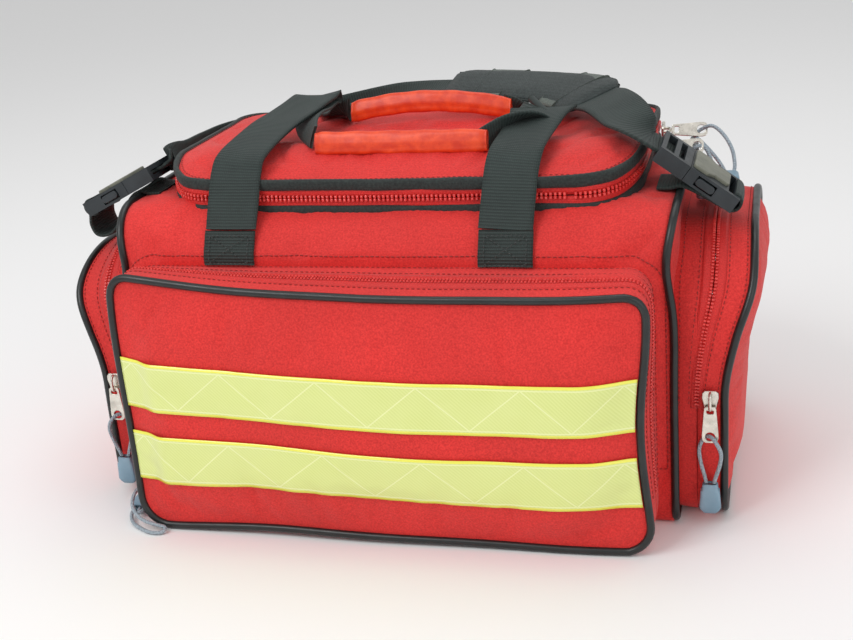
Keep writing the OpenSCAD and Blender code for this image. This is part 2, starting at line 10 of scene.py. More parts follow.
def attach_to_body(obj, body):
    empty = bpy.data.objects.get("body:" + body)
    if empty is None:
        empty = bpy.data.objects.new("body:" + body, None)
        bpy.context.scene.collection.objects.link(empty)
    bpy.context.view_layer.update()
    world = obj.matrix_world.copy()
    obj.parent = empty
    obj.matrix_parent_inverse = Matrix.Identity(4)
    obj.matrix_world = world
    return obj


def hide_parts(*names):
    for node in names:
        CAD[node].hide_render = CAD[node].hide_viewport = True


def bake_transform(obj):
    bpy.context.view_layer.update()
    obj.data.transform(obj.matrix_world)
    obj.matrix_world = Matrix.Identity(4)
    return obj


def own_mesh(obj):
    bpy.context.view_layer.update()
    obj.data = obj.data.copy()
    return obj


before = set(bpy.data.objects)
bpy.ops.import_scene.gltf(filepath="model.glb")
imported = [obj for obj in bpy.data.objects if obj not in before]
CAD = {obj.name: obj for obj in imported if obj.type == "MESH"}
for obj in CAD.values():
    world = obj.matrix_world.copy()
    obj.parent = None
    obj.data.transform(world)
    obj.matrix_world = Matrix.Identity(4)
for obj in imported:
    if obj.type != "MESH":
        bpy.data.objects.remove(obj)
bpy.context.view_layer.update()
MM = 0.001

# ---- camera ----

AZIMUTH, ELEVATION, ROLL, DISTANCE = 15.73, 20.34, -4.62, 1.13
TARGET = Vector((-0.0035, 0, 0.1139))


def add_object(name, data):
    o = bpy.data.objects.new(name, data)
    bpy.context.scene.collection.objects.link(o)
    return o


def place_camera():
    a, e, r = (math.radians(v) for v in (AZIMUTH, ELEVATION, ROLL))
    back = Vector((math.sin(a) * math.cos(e), -math.cos(a) * math.cos(e), math.sin(e)))
    right = Vector((math.cos(a), math.sin(a), 0))
    up = back.cross(right)
    side = right * math.cos(r) + up * math.sin(r)
    head = up * math.cos(r) - right * math.sin(r)
    camera = add_object("camera", bpy.data.cameras.new("camera"))
    camera.data.sensor_width = 36
    camera.data.lens = 56.24
    camera.data.clip_start = 0.05
    turn = Matrix((side, head, back)).transposed().to_4x4()
    camera.matrix_world = Matrix.Translation(TARGET + back * DISTANCE) @ turn
    bpy.context.scene.camera = camera


place_camera()

# ---- studio ----

world = bpy.data.worlds.new("studio")
world.use_nodes = True
world.node_tree.nodes["Background"].inputs["Color"].default_value = (1, 1, 1, 1)
world.node_tree.nodes["Background"].inputs["Strength"].default_value = 0.62
bpy.context.scene.world = world
bpy.context.scene.view_settings.view_transform = "Standard"


def softbox(name, place, aim, power, size):
    light = bpy.data.lights.new(name, "AREA")
    light.energy, light.size, light.shape = power, size, "SQUARE"
    o = add_object(name, light)
    o.location = place
    o.rotation_euler = (Vector(aim) - Vector(place)).to_track_quat("-Z", "Y").to_euler()


softbox("key", (-0.9, -1.3, 1.7), (0, 0, 0.1), 17, 1.0)
softbox("fill", (1.5, -1.2, 1.0), (0, 0, 0.1), 6, 1.4)
softbox("top", (0.1, 0.5, 2.0), (0, 0, 0.2), 7, 1.2)

# ---- noise, curves and meshes ----

lattice = np.random.RandomState(5).uniform(-1, 1, (32, 32, 32))


def noise(p, scale, seed=0):
    """Smooth noise from -1 to 1 at points p, whose features are about scale metres across."""
    q = np.asarray(p, float) / scale + 7.3 * seed
    i = np.floor(q).astype(int)
    f = q - i
    f = f * f * (3 - 2 * f)
    total = 0
    for dx in (0, 1):
        for dy in (0, 1):
            for dz in (0, 1):
                w = 1
                for k, d in enumerate((dx, dy, dz)):
                    w = w * (f[..., k] if d else 1 - f[..., k])
                c = (i + (dx, dy, dz)) % 32
                total = total + w * lattice[c[..., 0], c[..., 1], c[..., 2]]
    return total


def step(v, low, high):
    t = np.clip((v - low) / (high - low), 0, 1)
    return t * t * (3 - 2 * t)


def unit(v):
    return v / np.maximum(np.linalg.norm(v, axis=-1, keepdims=True), 1e-12)


def lengths(p):
    """How far along a path each of its points is."""
    return np.concatenate([[0], np.cumsum(np.linalg.norm(np.diff(p, axis=0), axis=1))])


def sampled(s, t, rows):
    """Rows known at lengths s, read off at lengths t."""
    return np.stack([np.interp(t, s, rows[:, k]) for k in range(rows.shape[1])], 1)


def squarish(v, power):
    """Bends a circle's sine or cosine towards a rounded square."""
    return np.sign(v) * np.abs(v) ** power


def spline(points, spacing, closed=False):
    """Points about spacing apart along a smooth curve through the given rows, whose first
    three numbers are the place."""
    p = np.array(points, float)
    n = len(p)
    if closed:
        p = np.vstack([p[-1:], p, p[:2]])
    else:
        p = np.vstack([2 * p[0] - p[1], p, 2 * p[-1] - p[-2]])
    out = []
    for i in range(1, n + (1 if closed else 0)):
        a, b, c, d = p[i - 1 : i + 3]
        f = np.linspace(0, 1, 40, endpoint=False)[:, None]
        out.append(b + 0.5 * f * ((c - a) + f * ((2 * a - 5 * b + 4 * c - d) + f * (3 * (b - c) + d - a))))
    out.append(out[0][:1] if closed else p[-2:-1])
    q = np.vstack(out)
    s = lengths(q[:, :3])
    count = max(2, int(round(s[-1] / spacing)) + 1)
    t = np.linspace(0, s[-1], count)
    r = sampled(s, t, q)
    return (r[:-1], t[:-1]) if closed else (r, t)


def rounded(hw, v0, v1, r_high, r_low, spacing=0.004):
    """Rectangle with round corners: points, outward normals and distance along it, evenly spaced."""
    pts, nrm = [], []
    for cx, cy, r, a in (
        (hw - r_low, v0 + r_low, r_low, -90),
        (hw - r_high, v1 - r_high, r_high, 0),
        (r_high - hw, v1 - r_high, r_high, 90),
        (r_low - hw, v0 + r_low, r_low, 180),
    ):
        for t in np.radians(np.linspace(a, a + 90, 40)):
            nrm.append((math.cos(t), math.sin(t)))
            pts.append((cx + r * math.cos(t), cy + r * math.sin(t)))
    pts, nrm = np.array(pts + pts[:1]), np.array(nrm + nrm[:1])
    s = lengths(pts)
    t = np.linspace(0, s[-1], int(round(s[-1] / spacing)) + 1)[:-1]
    return sampled(s, t, pts), unit(sampled(s, t, nrm)), t


# half depth, bottom and top of the main compartment and half its length, in metres
BODY = (0.123, 0, 0.244)
BODY_END = 0.212
# half width, bottom and top of the long and the short pockets, in metres
LONG = (0.200, 0.002, 0.204)
SHORT = (0.112, 0.002, 0.222)
LONG_OUTLINE = rounded(*LONG, 0.018, 0.024)
SHORT_OUTLINE = rounded(*SHORT, 0.078, 0.024)
# half width, front and rear edge, and the rear and front corner radius of the lid
LID_DIMS = (0.186, -0.086, 0.105, 0.020, 0.045)


def lid_outline(inward, spacing):
    """The lid's outline, moved inward."""
    hw, y0, y1, r_rear, r_front = LID_DIMS
    return rounded(hw - inward, y0 + inward, y1 - inward, r_rear - inward, r_front - inward, spacing)


def level(q, z):
    """Plan points q at height z."""
    return np.stack([q[:, 0], q[:, 1], np.full(len(q), z)], 1)


def new_piece(name, verts, faces, uv=None, mats=(), face_mats=None, smooth=True):
    me = bpy.data.meshes.new(name)
    me.from_pydata([tuple(v) for v in verts], [], [tuple(int(i) for i in f) for f in faces])
    if uv is not None:
        layer = me.uv_layers.new(name="cloth")
        layer.data.foreach_set("uv", np.asarray(uv, np.float32).ravel())
    if face_mats is not None:
        me.polygons.foreach_set("material_index", np.asarray(face_mats, np.int32))
    me.polygons.foreach_set("use_smooth", [smooth] * len(me.polygons))
    me.update()
    o = add_object(name, me)
    for m in mats:
        me.materials.append(m)
    return o


def points_of(o):
    return np.array([v.co for v in o.data.vertices])


def move_points(o, co):
    o.data.vertices.foreach_set("co", co.astype(np.float32).ravel())


def lattice_faces(nu, nv, closed_u, closed_v, flip=False):
    u, v = np.meshgrid(
        np.arange(nu if closed_u else nu - 1), np.arange(nv if closed_v else nv - 1), indexing="ij"
    )
    u, v = u.ravel(), v.ravel()
    u1, v1 = (u + 1) % nu, (v + 1) % nv
    f = np.stack([u * nv + v, u1 * nv + v, u1 * nv + v1, u * nv + v1], 1)
    corner = np.stack(
        [
            np.stack([u, v], 1), np.stack([u + 1, v], 1), np.stack([u + 1, v + 1], 1),
            np.stack([u, v + 1], 1)
        ],
        1
    )
    if flip:
        f, corner = f[:, ::-1], corner[:, ::-1]
    return f, corner


def surface(name, grid, mats, closed_u=False, closed_v=False, flip=False, uv=None, caps=False):
    """A skin over a grid of points (nu, nv, 3). uv is (lengths along u, lengths along v) in metres."""
    nu, nv = grid.shape[:2]
    faces, corner = lattice_faces(nu, nv, closed_u, closed_v, flip)
    coords = None
    if uv is not None:
        lu, lv = (np.append(a, 2 * a[-1] - a[-2]) for a in uv)
        coords = np.stack([lu[corner[..., 0]], lv[corner[..., 1]]], -1).reshape(-1, 2)
    faces = [tuple(f) for f in faces]
    if caps:
        ends = [list(range(nv - 1, -1, -1)), list(range((nu - 1) * nv, nu * nv))]
        if flip:
            ends = [e[::-1] for e in ends]
        faces += [tuple(e) for e in ends]
        if coords is not None:
            coords = np.vstack([coords, np.zeros((2 * nv, 2))])
    return new_piece(name, grid.reshape(-1, 3), faces, coords, mats)


def weld(o, distance=0.00002):
    bm = bmesh.new()
    bm.from_mesh(o.data)
    bmesh.ops.remove_doubles(bm, verts=bm.verts, dist=distance)
    bmesh.ops.recalc_face_normals(bm, faces=bm.faces)
    bm.to_mesh(o.data)
    bm.free()
    o.data.polygons.foreach_set("use_smooth", [True] * len(o.data.polygons))
    return o


def thicken(o, amount, offset=-1.0):
    m = o.modifiers.new("cloth_thickness", "SOLIDIFY")
    m.thickness, m.offset = amount, offset
    return o


def frames_along(p, closed=False):
    """Tangents, and a normal and side vector that turn as little as possible."""
    t = unit(np.roll(p, -1, 0) - np.roll(p, 1, 0)) if closed else unit(np.gradient(p, axis=0))
    n = np.zeros_like(p)
    start = np.array((0.0, 0, 1)) if abs(t[0][2]) < 0.9 else np.array((0.0, 1, 0))
    n[0] = unit(start - t[0] * (start @ t[0]))
    for i in range(1, len(p)):
        n[i] = unit(n[i - 1] - t[i] * (n[i - 1] @ t[i]))
    if closed:
        last = unit(n[-1] - t[0] * (n[-1] @ t[0]))
        gap = math.atan2(np.cross(last, n[0]) @ t[0], last @ n[0])
        a = np.linspace(0, gap, len(p))[:, None]
        n = n * np.cos(a) + np.cross(t, n) * np.sin(a)
    return t, n, np.cross(t, n)


def tube(name, path, radius, mats, closed=False, sides=10):
    _, n, b = frames_along(path, closed)
    a = np.linspace(0, 2 * np.pi, sides, endpoint=False)
    ring = np.cos(a)[None, :, None] * n[:, None] + np.sin(a)[None, :, None] * b[:, None]
    return surface(name, path[:, None] + radius * ring, mats, closed, True, flip=True, caps=not closed)


def ribbon(name, rows, mats, thick=0.0022, spacing=0.0025, crown=0.0006, soft=0.0004, seed=1, cells=8):
    """Webbing along rows of (x, y, z, width direction x, y, z, width)."""
    r, s = spline(rows, spacing)
    p = r[:, :3]
    t = unit(np.gradient(p, axis=0))
    w = unit(r[:, 3:6] - t * np.sum(r[:, 3:6] * t, 1)[:, None])
    u = np.cross(t, w)
    a = np.linspace(-1, 1, cells + 1)
    face = lambda side, run: [(k, side * 0.5 + crown / thick * (1 - k * k)) for k in run]
    pr = np.array(face(1, a) + [(1.008, 0)] + face(-1, a[::-1]) + [(-1.008, 0)])
    width = r[:, 6] / 2
    grid = p[:, None] + w[:, None] * (
        pr[None, :, :1] * width[:, None, None]
    ) + u[:, None] * (pr[None, :, 1:] * thick)
    grid = grid + u[:, None] * (soft * noise(grid, 0.018, seed))[..., None]
    across = pr[:, 0] * 0.02 + (pr[:, 1] < 0) * 0.1
    return surface(name, grid, mats, closed_v=True, uv=(s, across), caps=True)


def bevel(o, width, segments=2, angle=35):
    m = o.modifiers.new("worn_edges", "BEVEL")
    m.width, m.segments, m.limit_method, m.angle_limit = width, segments, "ANGLE", math.radians(angle)
    return o


def join(name, parts):
    """One piece from several meshes with the same materials."""
    verts, faces, base = [], [], 0
    for o in parts:
        v = [o.matrix_world @ x.co for x in o.data.vertices]
        verts += v
        faces += [tuple(i + base for i in f.vertices) for f in o.data.polygons]
        base += len(v)
    smooth = parts[0].data.polygons[0].use_smooth
    mats = list(parts[0].data.materials)
    for o in parts:
        bpy.data.objects.remove(o)
    return new_piece(name, verts, faces, mats=mats, smooth=smooth)


# ---- how the soft bag leans and sags: one displacement field for everything sewn to it ----


def warp(p):
    x, y, z = p[..., 0], p[..., 1], p[..., 2]
    front = step(-y, 0.118, 0.170)
    rear = step(y, 0.118, 0.170)
    out = step(np.abs(x), 0.205, 0.262)
    up = np.clip(z / LONG[2], 0, 1)
    up_end = np.clip(z / SHORT[2], 0, 1)
    off_floor = step(z, -0.002, 0.004)
    # the long pockets swell, sag along their tops and lie down at the bottom
    long = np.clip(1 - (x / 0.2) ** 2, 0, 1)
    dy = (rear - front) * long * (0.004 + 0.005 * np.sin(np.pi * up))
    dz = (front + rear) * long * (-0.008 * up + 0.004 * (1 - up) * off_floor)
    dz = dz + front * 0.003 * (1 - up) * np.exp(-(((x + 0.09) / 0.07) ** 2)) * off_floor
    dx = -0.007 * front * np.exp(-(((x - 0.2) / 0.05) ** 2)) * np.sin(np.pi * up) ** 2
    # the end pockets swell, draw in at the foot and droop, the left one most
    wide = np.clip(1 - (y / SHORT[0]) ** 2, 0, 1)
    dx = dx + np.sign(x) * out * wide * 0.006 * np.sin(np.pi * up_end)
    dx = dx - np.sign(x) * out * (0.016 * (1 - step(z, 0.10, 0.20)) - 0.003 * step(z, 0.15, 0.19))
    dz = dz - out * up_end**3 * np.where(x < 0, 0.026, 0.006)
    # the front stands a little lower at the left and higher at the right
    lean = np.where(x < 0, 0.007 * np.clip(-x / 0.2, 0, 1.1), -0.004 * np.clip(x / 0.2, 0, 1.1))
    dz = dz + front * up * lean
    # the body's own corners give way above the front pocket
    side = np.exp(-(((np.abs(x) - 0.213) / 0.012) ** 2)) * step(-y, 0.08, 0.12)
    dx = dx - np.sign(x) * side * (0.006 * np.exp(-(((z - 0.205) / 0.030) ** 2)))
    # the top is uneven and sags towards the front edge
    rim = step(z, 0.236, 0.244)
    sag = 0.0015 * np.clip(1 - (x / 0.18) ** 2, 0, 1) * step(-y, 0.0, 0.06)
    dz = dz + rim * (0.0022 * noise(p * (1, 1, 0.1), 0.075, 3) - sag)
    wavy = noise(p, 0.085, 4) * 0.0016 * (1 - rim)
    raised = np.clip(step(z, 0.0, 0.02), 0, 1)
    return p + np.stack([dx, dy + wavy, dz + 0.6 * wavy * raised], -1)


def at_front(u, v, w):
    return np.stack([u, -w, v], -1)


def at_rear(u, v, w):
    return np.stack([-u, w, v], -1)


def at_right(u, v, w):
    return np.stack([w, u, v], -1)


def at_left(u, v, w):
    return np.stack([-w, -u, v], -1)


def inset(q, hw, v0, v1, t):
    """The outline q moved a share t, from 0 to 1, of the way to the middle line of a flat panel."""
    half = (v1 - v0) / 2
    middle = np.stack([0 * q[:, 0], np.clip(q[:, 1], v0 + hw, v1 - hw)], 1)
    if hw > half:
        middle = np.stack([np.clip(q[:, 0], half - hw, hw - half), np.full(len(q), v0 + half)], 1)
    return q * (1 - t) + middle * t


def placed(at, q, w):
    """Outline points q at distance w out from the middle of the bag, on the side given by at."""
    return at(q[:, 0], q[:, 1], np.full(len(q), w))


# ---- materials ----


class Paint:
    """Builds one node material."""

    def __init__(self, name, color, rough=0.6, metal=0.0, **sockets):
        self.m = bpy.data.materials.new(name)
        self.m.use_nodes = True
        self.t = self.m.node_tree
        self.b = self.t.nodes["Principled BSDF"]
        self.b.inputs["Base Color"].default_value = (*color, 1)
        self.b.inputs["Roughness"].default_value = rough
        self.b.inputs["Metallic"].default_value = metal
        for k, v in sockets.items():
            self.b.inputs[k.replace("_", " ")].default_value = v
        self.m.diffuse_color = (*color, 1)

    def node(self, kind, **values):
        n = self.t.nodes.new("ShaderNode" + kind)
        for k, v in values.items():
            if hasattr(n, k):
                setattr(n, k, v)
            else:
                n.inputs[k.replace("_", " ")].default_value = v
        return n

    def link(self, a, b):
        self.t.links.new(a, b)
        return b

    def coords(self, uv=False):
        if uv:
            return self.node("UVMap", uv_map="cloth").outputs["UV"]
        return self.node("TexCoord").outputs["Object"]

    def noise(self, scale, detail=2.0, uv=False, stretch=None):
        n = self.node("TexNoise", Scale=scale, Detail=detail)
        c = self.coords(uv)
        if stretch:
            m = self.node("Mapping")
            m.inputs["Scale"].default_value = stretch
            self.link(c, m.inputs["Vector"])
            c = m.outputs["Vector"]
        self.link(c, n.inputs["Vector"])
        return n.outputs["Fac"]

    def ramp(self, value, stops):
        r = self.node("ValToRGB")
        e = r.color_ramp.elements
        while len(e) < len(stops):
            e.new(0.5)
        for el, (pos, c) in zip(e, stops):
            el.position, el.color = pos, (*c, 1)
        self.link(value, r.inputs["Fac"])
        return r.outputs["Color"]

    def math(self, op, a, b=0.0, c=0.0):
        n = self.node("Math", operation=op)
        for i, v in enumerate((a, b, c)):
            if isinstance(v, (int, float)):
                n.inputs[i].default_value = v
            else:
                self.link(v, n.inputs[i])
        return n.outputs[0]

    def mix(self, fac, a, b, blend="MIX"):
        n = self.node("Mix", data_type="RGBA", blend_type=blend)
        for s, v in ((n.inputs[0], fac), (n.inputs[6], a), (n.inputs[7], b)):
            if isinstance(v, (int, float)):
                s.default_value = v
            elif isinstance(v, tuple):
                s.default_value = (*v, 1)
            else:
                self.link(v, s)
        return n.outputs[2]

    def split(self, vector):
        n = self.node("SeparateXYZ")
        self.link(vector, n.inputs[0])
        return n.outputs

    def bump(self, height, strength, distance):
        n = self.node("Bump", Strength=strength, Distance=distance)
        if "Normal" in self.b.inputs and self.b.inputs["Normal"].is_linked:
            self.link(self.b.inputs["Normal"].links[0].from_socket, n.inputs["Normal"])
        self.link(height, n.inputs["Height"])
        self.link(n.outputs["Normal"], self.b.inputs["Normal"])

    def color(self, socket):
        self.link(socket, self.b.inputs["Base Color"])

    def rough(self, socket):
        self.link(socket, self.b.inputs["Roughness"])


def waves(p, period):
    """Threads along all three axes, so that any panel shows two of them."""
    x, y, z = p.split(p.coords())
    k = 2 * math.pi / period
    s = [p.math("SINE", p.math("MULTIPLY", c, k)) for c in (x, y, z)]
    return p.math("ADD", p.math("ADD", s[0], s[1]), s[2])


def cloth(name, dark, light, thread=0.0011, rough=0.72, grain=750, folds=0.22):
    p = Paint(name, light, rough, Sheen_Weight=0.10, Sheen_Roughness=0.5)
    speckle = p.ramp(p.noise(grain, 3.0), [(0.32, dark), (0.68, light)])
    soft = p.ramp(p.noise(11, 3.0), [(0.3, (0.86, 0.84, 0.84)), (0.7, (1, 1, 1))])
    p.color(p.mix(1.0, speckle, soft, "MULTIPLY"))
    p.bump(waves(p, thread), 0.25, 0.0002)
    p.bump(p.noise(260, 3.0), 0.12, 0.0006)
    p.bump(p.noise(17, 1.5), folds, 0.010)
    return p.m


def webbing_material(name, dark, light, rib=0.0024):
    p = Paint(name, dark, 0.66, Sheen_Weight=0.05)
    v = p.split(p.coords(True))
    ribs = p.math("SINE", p.math("MULTIPLY", v[0], 2 * math.pi / rib))
    fine = p.math("SINE", p.math("MULTIPLY", v[1], 2 * math.pi / 0.0015))
    high = p.math("MULTIPLY_ADD", ribs, 0.5, 0.5)
    glint = p.math("MULTIPLY", p.math("POWER", high, 3.0), p.math("MULTIPLY_ADD", fine, 0.25, 0.6))
    base = p.mix(glint, dark, light)
    p.color(p.mix(p.noise(60, 3.0), base, p.mix(0.5, base, light)))
    p.bump(p.math("ADD", ribs, p.math("MULTIPLY", fine, 0.4)), 0.5, 0.0004)
    return p.m


RED = cloth("red_fabric", (0.62, 0.012, 0.010), (0.84, 0.032, 0.026))
RED_TAPE = cloth("red_zip_tape", (0.55, 0.008, 0.006), (0.78, 0.020, 0.016), 0.0016, 0.6, 1200)
LINING = cloth("board_cover", (0.03, 0.032, 0.035), (0.07, 0.072, 0.075), 0.0014)
BINDING = cloth("black_binding", (0.006, 0.011, 0.010), (0.022, 0.034, 0.031), 0.0013, 0.75, 600)
WEB = webbing_material("black_webbing", (0.004, 0.010, 0.009), (0.030, 0.052, 0.046))
PAD_CLOTH = cloth("pad_cloth", (0.010, 0.017, 0.017), (0.032, 0.046, 0.044), 0.0016, 0.8, 500)
BAND = cloth("pad_band", (0.070, 0.092, 0.080), (0.125, 0.150, 0.130), 0.0012, 0.65, 700)


def piping_material():
    p = Paint("black_piping", (0.010, 0.014, 0.014), 0.34, Coat_Weight=0.12, Coat_Roughness=0.25)
    p.color(p.ramp(p.noise(90, 3.0), [(0.3, (0.004, 0.006, 0.006)), (0.8, (0.012, 0.016, 0.016))]))
    p.rough(p.math("MULTIPLY_ADD", p.noise(140, 2.0), 0.3, 0.24))
    p.bump(p.noise(500, 2.0), 0.15, 0.0003)
    return p.m


def teeth_material(name, color, dark):
    p = Paint(name, color, 0.32, Coat_Weight=0.35, Coat_Roughness=0.15)
    p.color(p.ramp(p.noise(300, 2.0), [(0.3, dark), (0.7, color)]))
    p.bump(p.noise(900, 1.0), 0.1, 0.0002)
    return p.m


def plastic_material(name, color, light, rough=0.42):
    p = Paint(name, color, rough, Coat_Weight=0.08, Coat_Roughness=0.3)
    p.color(p.ramp(p.noise(45, 4.0), [(0.35, color), (0.75, light)]))
    p.rough(p.math("MULTIPLY_ADD", p.noise(220, 3.0), 0.25, rough - 0.1))
    p.bump(p.noise(1400, 2.0), 0.25, 0.0002)
    return p.m


def metal_material():
    p = Paint("nickel", (0.78, 0.74, 0.66), 0.3, 1.0)
    p.color(p.ramp(p.noise(150, 4.0), [(0.3, (0.58, 0.55, 0.49)), (0.7, (0.85, 0.81, 0.73))]))
    p.rough(p.math("MULTIPLY_ADD", p.noise(420, 3.0), 0.35, 0.14))
    p.bump(p.noise(260, 3.0), 0.12, 0.0004)
    return p.m


def cord_material():
    p = Paint("grey_cord", (0.33, 0.40, 0.45), 0.55, Sheen_Weight=0.1)
    p.color(p.ramp(p.noise(700, 3.0), [(0.3, (0.24, 0.30, 0.35)), (0.7, (0.42, 0.49, 0.54))]))
    p.bump(waves(p, 0.0016), 0.5, 0.0003)
    return p.m


def grip_material():
    p = Paint("red_grip", (0.88, 0.075, 0.012), 0.44, Coat_Weight=0.12, Coat_Roughness=0.3)
    blot = p.ramp(p.noise(120, 5.0), [(0.35, (0.70, 0.036, 0.004)), (0.65, (0.92, 0.085, 0.012))])
    p.color(p.mix(p.noise(900, 2.0), blot, p.mix(0.35, blot, (0.5, 0.02, 0.005))))
    p.bump(p.noise(350, 4.0), 0.3, 0.0005)
    return p.m


def reflective_material():
    p = Paint("reflective", (0.72, 0.78, 0.26), 0.26, Coat_Weight=0.5, Coat_Roughness=0.08)
    u, v, _ = p.split(p.coords(True))
    edge = p.math("GREATER_THAN", p.math("ABSOLUTE", v), 0.0178)
    inner = p.math(
        "LESS_THAN", p.math("ABSOLUTE", p.math("SUBTRACT", p.math("ABSOLUTE", v), 0.0165)), 0.0005
    )
    saw = p.math("PINGPONG", u, 0.0375)
    slope = p.math("MULTIPLY_ADD", saw, 0.033 / 0.0375, -0.0165)
    zig = p.math("LESS_THAN", p.math("ABSOLUTE", p.math("SUBTRACT", v, slope)), 0.0006)
    line = p.math("MAXIMUM", inner, zig)
    prism = p.math(
        "MULTIPLY_ADD", p.math("SINE", p.math("MULTIPLY", p.math("ADD", u, v), 2 * math.pi / 0.003)),
        0.5, 0.5
    )
    body = p.mix(prism, (0.66, 0.74, 0.22), (0.74, 0.81, 0.28))
    body = p.mix(p.math("MULTIPLY", p.noise(30, 3.0), 0.5), body, (0.80, 0.85, 0.36))
    body = p.mix(p.math("MULTIPLY", line, 0.75), body, (0.88, 0.92, 0.46))
    p.color(p.mix(edge, body, (0.90, 0.87, 0.10)))
    p.bump(p.math("MULTIPLY", line, -1.0), 0.35, 0.0004)
    p.bump(prism, 0.04, 0.0003)
    return p.m


PIPING = piping_material()
TEETH_RED = teeth_material("red_zip_teeth", (0.86, 0.07, 0.06), (0.62, 0.02, 0.018))
BLACK = plastic_material("black_plastic", (0.010, 0.015, 0.018), (0.026, 0.034, 0.040))
TAUPE = plastic_material("taupe_plastic", (0.15, 0.155, 0.12), (0.24, 0.24, 0.19), 0.45)
NICKEL = metal_material()
CORD = cord_material()
CORD_END = plastic_material("cord_end_rubber", (0.17, 0.29, 0.38), (0.28, 0.42, 0.52), 0.4)
GRIP = grip_material()
REFLECTIVE = reflective_material()
THREAD = cloth("thread", (0.30, 0.012, 0.010), (0.42, 0.02, 0.016), 0.0008, 0.7, 1500)

# ---- cords ----


def mm(points):
    return np.array(points, float) * MM


def add_cord(name, route, body):
    path, _ = spline(mm(route), 0.0016)
    c = bpy.data.curves.new(name + "_line", "CURVE")
    c.dimensions = "3D"
    c.bevel_depth, c.bevel_resolution = 0.0015, 3
    s = c.splines.new("POLY")
    s.points.add(len(path) - 1)
    s.points.foreach_set("co", np.hstack([path, np.ones((len(path), 1))]).ravel())
    c.materials.append(CORD)
    o = add_object(name + "_line", c)
    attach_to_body(o, body)
    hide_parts(name)


def cord_end(name, place):
    """The moulded end: a tapered block with a narrower neck and a raised rib, in the cord's own frame."""
    rings = [
        (0, 4.6, 3.0), (-0.6, 5.6, 3.9), (-5, 6.0, 4.0), (-5.6, 6.9, 4.6), (-19.5, 8.0, 4.0),
        (-21.5, 7.0, 3.6), (-24, 4.6, 2.6), (-24.4, 3.4, 1.8)
    ]
    a = np.linspace(0, 2 * np.pi, 28, endpoint=False)
    c, s = np.cos(a), np.sin(a)
    grid = mm([np.stack([w * squarish(c, 0.38), t * squarish(s, 0.38), z + 0 * c], 1) for z, w, t in rings])
    o = surface(name, grid, [CORD_END], closed_v=True, caps=True)
    o.matrix_world = place
    bpy.context.view_layer.update()
    return o


HANGING = [
    (-2.5, 0, -40), (-4, 1, -33), (-7, 2.5, -22), (-8, 4, -12), (-5, 4.5, -4), (0, 0, 0), (5, -4.5, -4),
    (8, -4, -12), (7, -2.5, -22), (4, -1, -33), (2.5, 0, -40)
]
GROUND = [
    (-218, -154, 5.4), (-217, -163, 4.4), (-211, -173, 3), (-201, -180, 2), (-190, -185, 2),
    (-181, -184, 2.4), (-180, -180, 4.5), (-189, -179.7, 6.5), (-201, -178, 10), (-211, -170, 16),
    (-213.5, -157, 22), (-209, -147.5, 23), (-204.9, -147.5, 20), (-204.8, -152, 13), (-207, -159, 8),
    (-211, -161, 5.8), (-214, -154, 5.4)
]
LID_A = [
    (248.5, 32, 229), (249.5, 38, 236), (247, 45, 247), (240, 53, 257), (231, 60, 262.5),
    (222, 66, 258.5), (217, 67, 253), (222, 60, 250), (231, 50, 243), (238, 42, 236), (243.5, 32, 229)
]
LID_B = [
    (233.5, -4, 229), (234.5, 2, 237), (232.5, 7, 248), (228, 9, 257), (222, 8, 258.5), (217.5, 9, 253),
    (220, 6, 247), (224, 2, 237), (228.5, -4, 229)
]


def turned(route, sx, sy):
    return [(sx * x, sy * y, z) for x, y, z in route]


def shifted(route, dx, dy, dz, sx=1, sy=1):
    return [(sx * x + dx, sy * y + dy, z + dz) for x, y, z in route]


Rx, Ry, Rz = (lambda a, axis=axis: Matrix.Rotation(math.radians(a), 4, axis) for axis in "XYZ")
lift = lambda x, y, z, turn=Matrix.Identity(4): Matrix.Translation((x * MM, y * MM, z * MM)) @ turn
ends = {
    "right_pull": cord_end("right_cord_end", lift(238, -121, 35)),
    "left_pull": cord_end("left_cord_end", lift(-238, -121, 35)),
    "front_pull": cord_end("front_cord_end", lift(-216, -155, 5.4, Rx(90))),
    "rear_pull": cord_end("rear_cord_end", lift(216, 155, 5.4, Rz(180) @ Rx(90))),
    "lid_pull_a": cord_end("lid_a_cord_end", lift(246, 33, 229, Rx(-90))),
    "lid_pull_b": cord_end("lid_b_cord_end", lift(231, -3, 229, Rx(-90))),
}
for name, route, length in (
    ("right_cord", shifted(HANGING, 238, -121, 73, -1, -1), 0.092),
    ("left_cord", shifted(HANGING, -238, -121, 73, 1, -1), 0.092),
    ("front_cord", GROUND, 0.158),
    ("rear_cord", turned(GROUND, -1, -1), 0.158),
    ("lid_cord_a", LID_A, 0.119),
    ("lid_cord_b", LID_B, 0.076),
):
    pull = name.replace("lid_cord", "lid_pull").replace("_cord", "_pull")
    add_cord(name, route, pull)
for pull, o in ends.items():
    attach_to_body(o, pull)

# ---- cloth ----


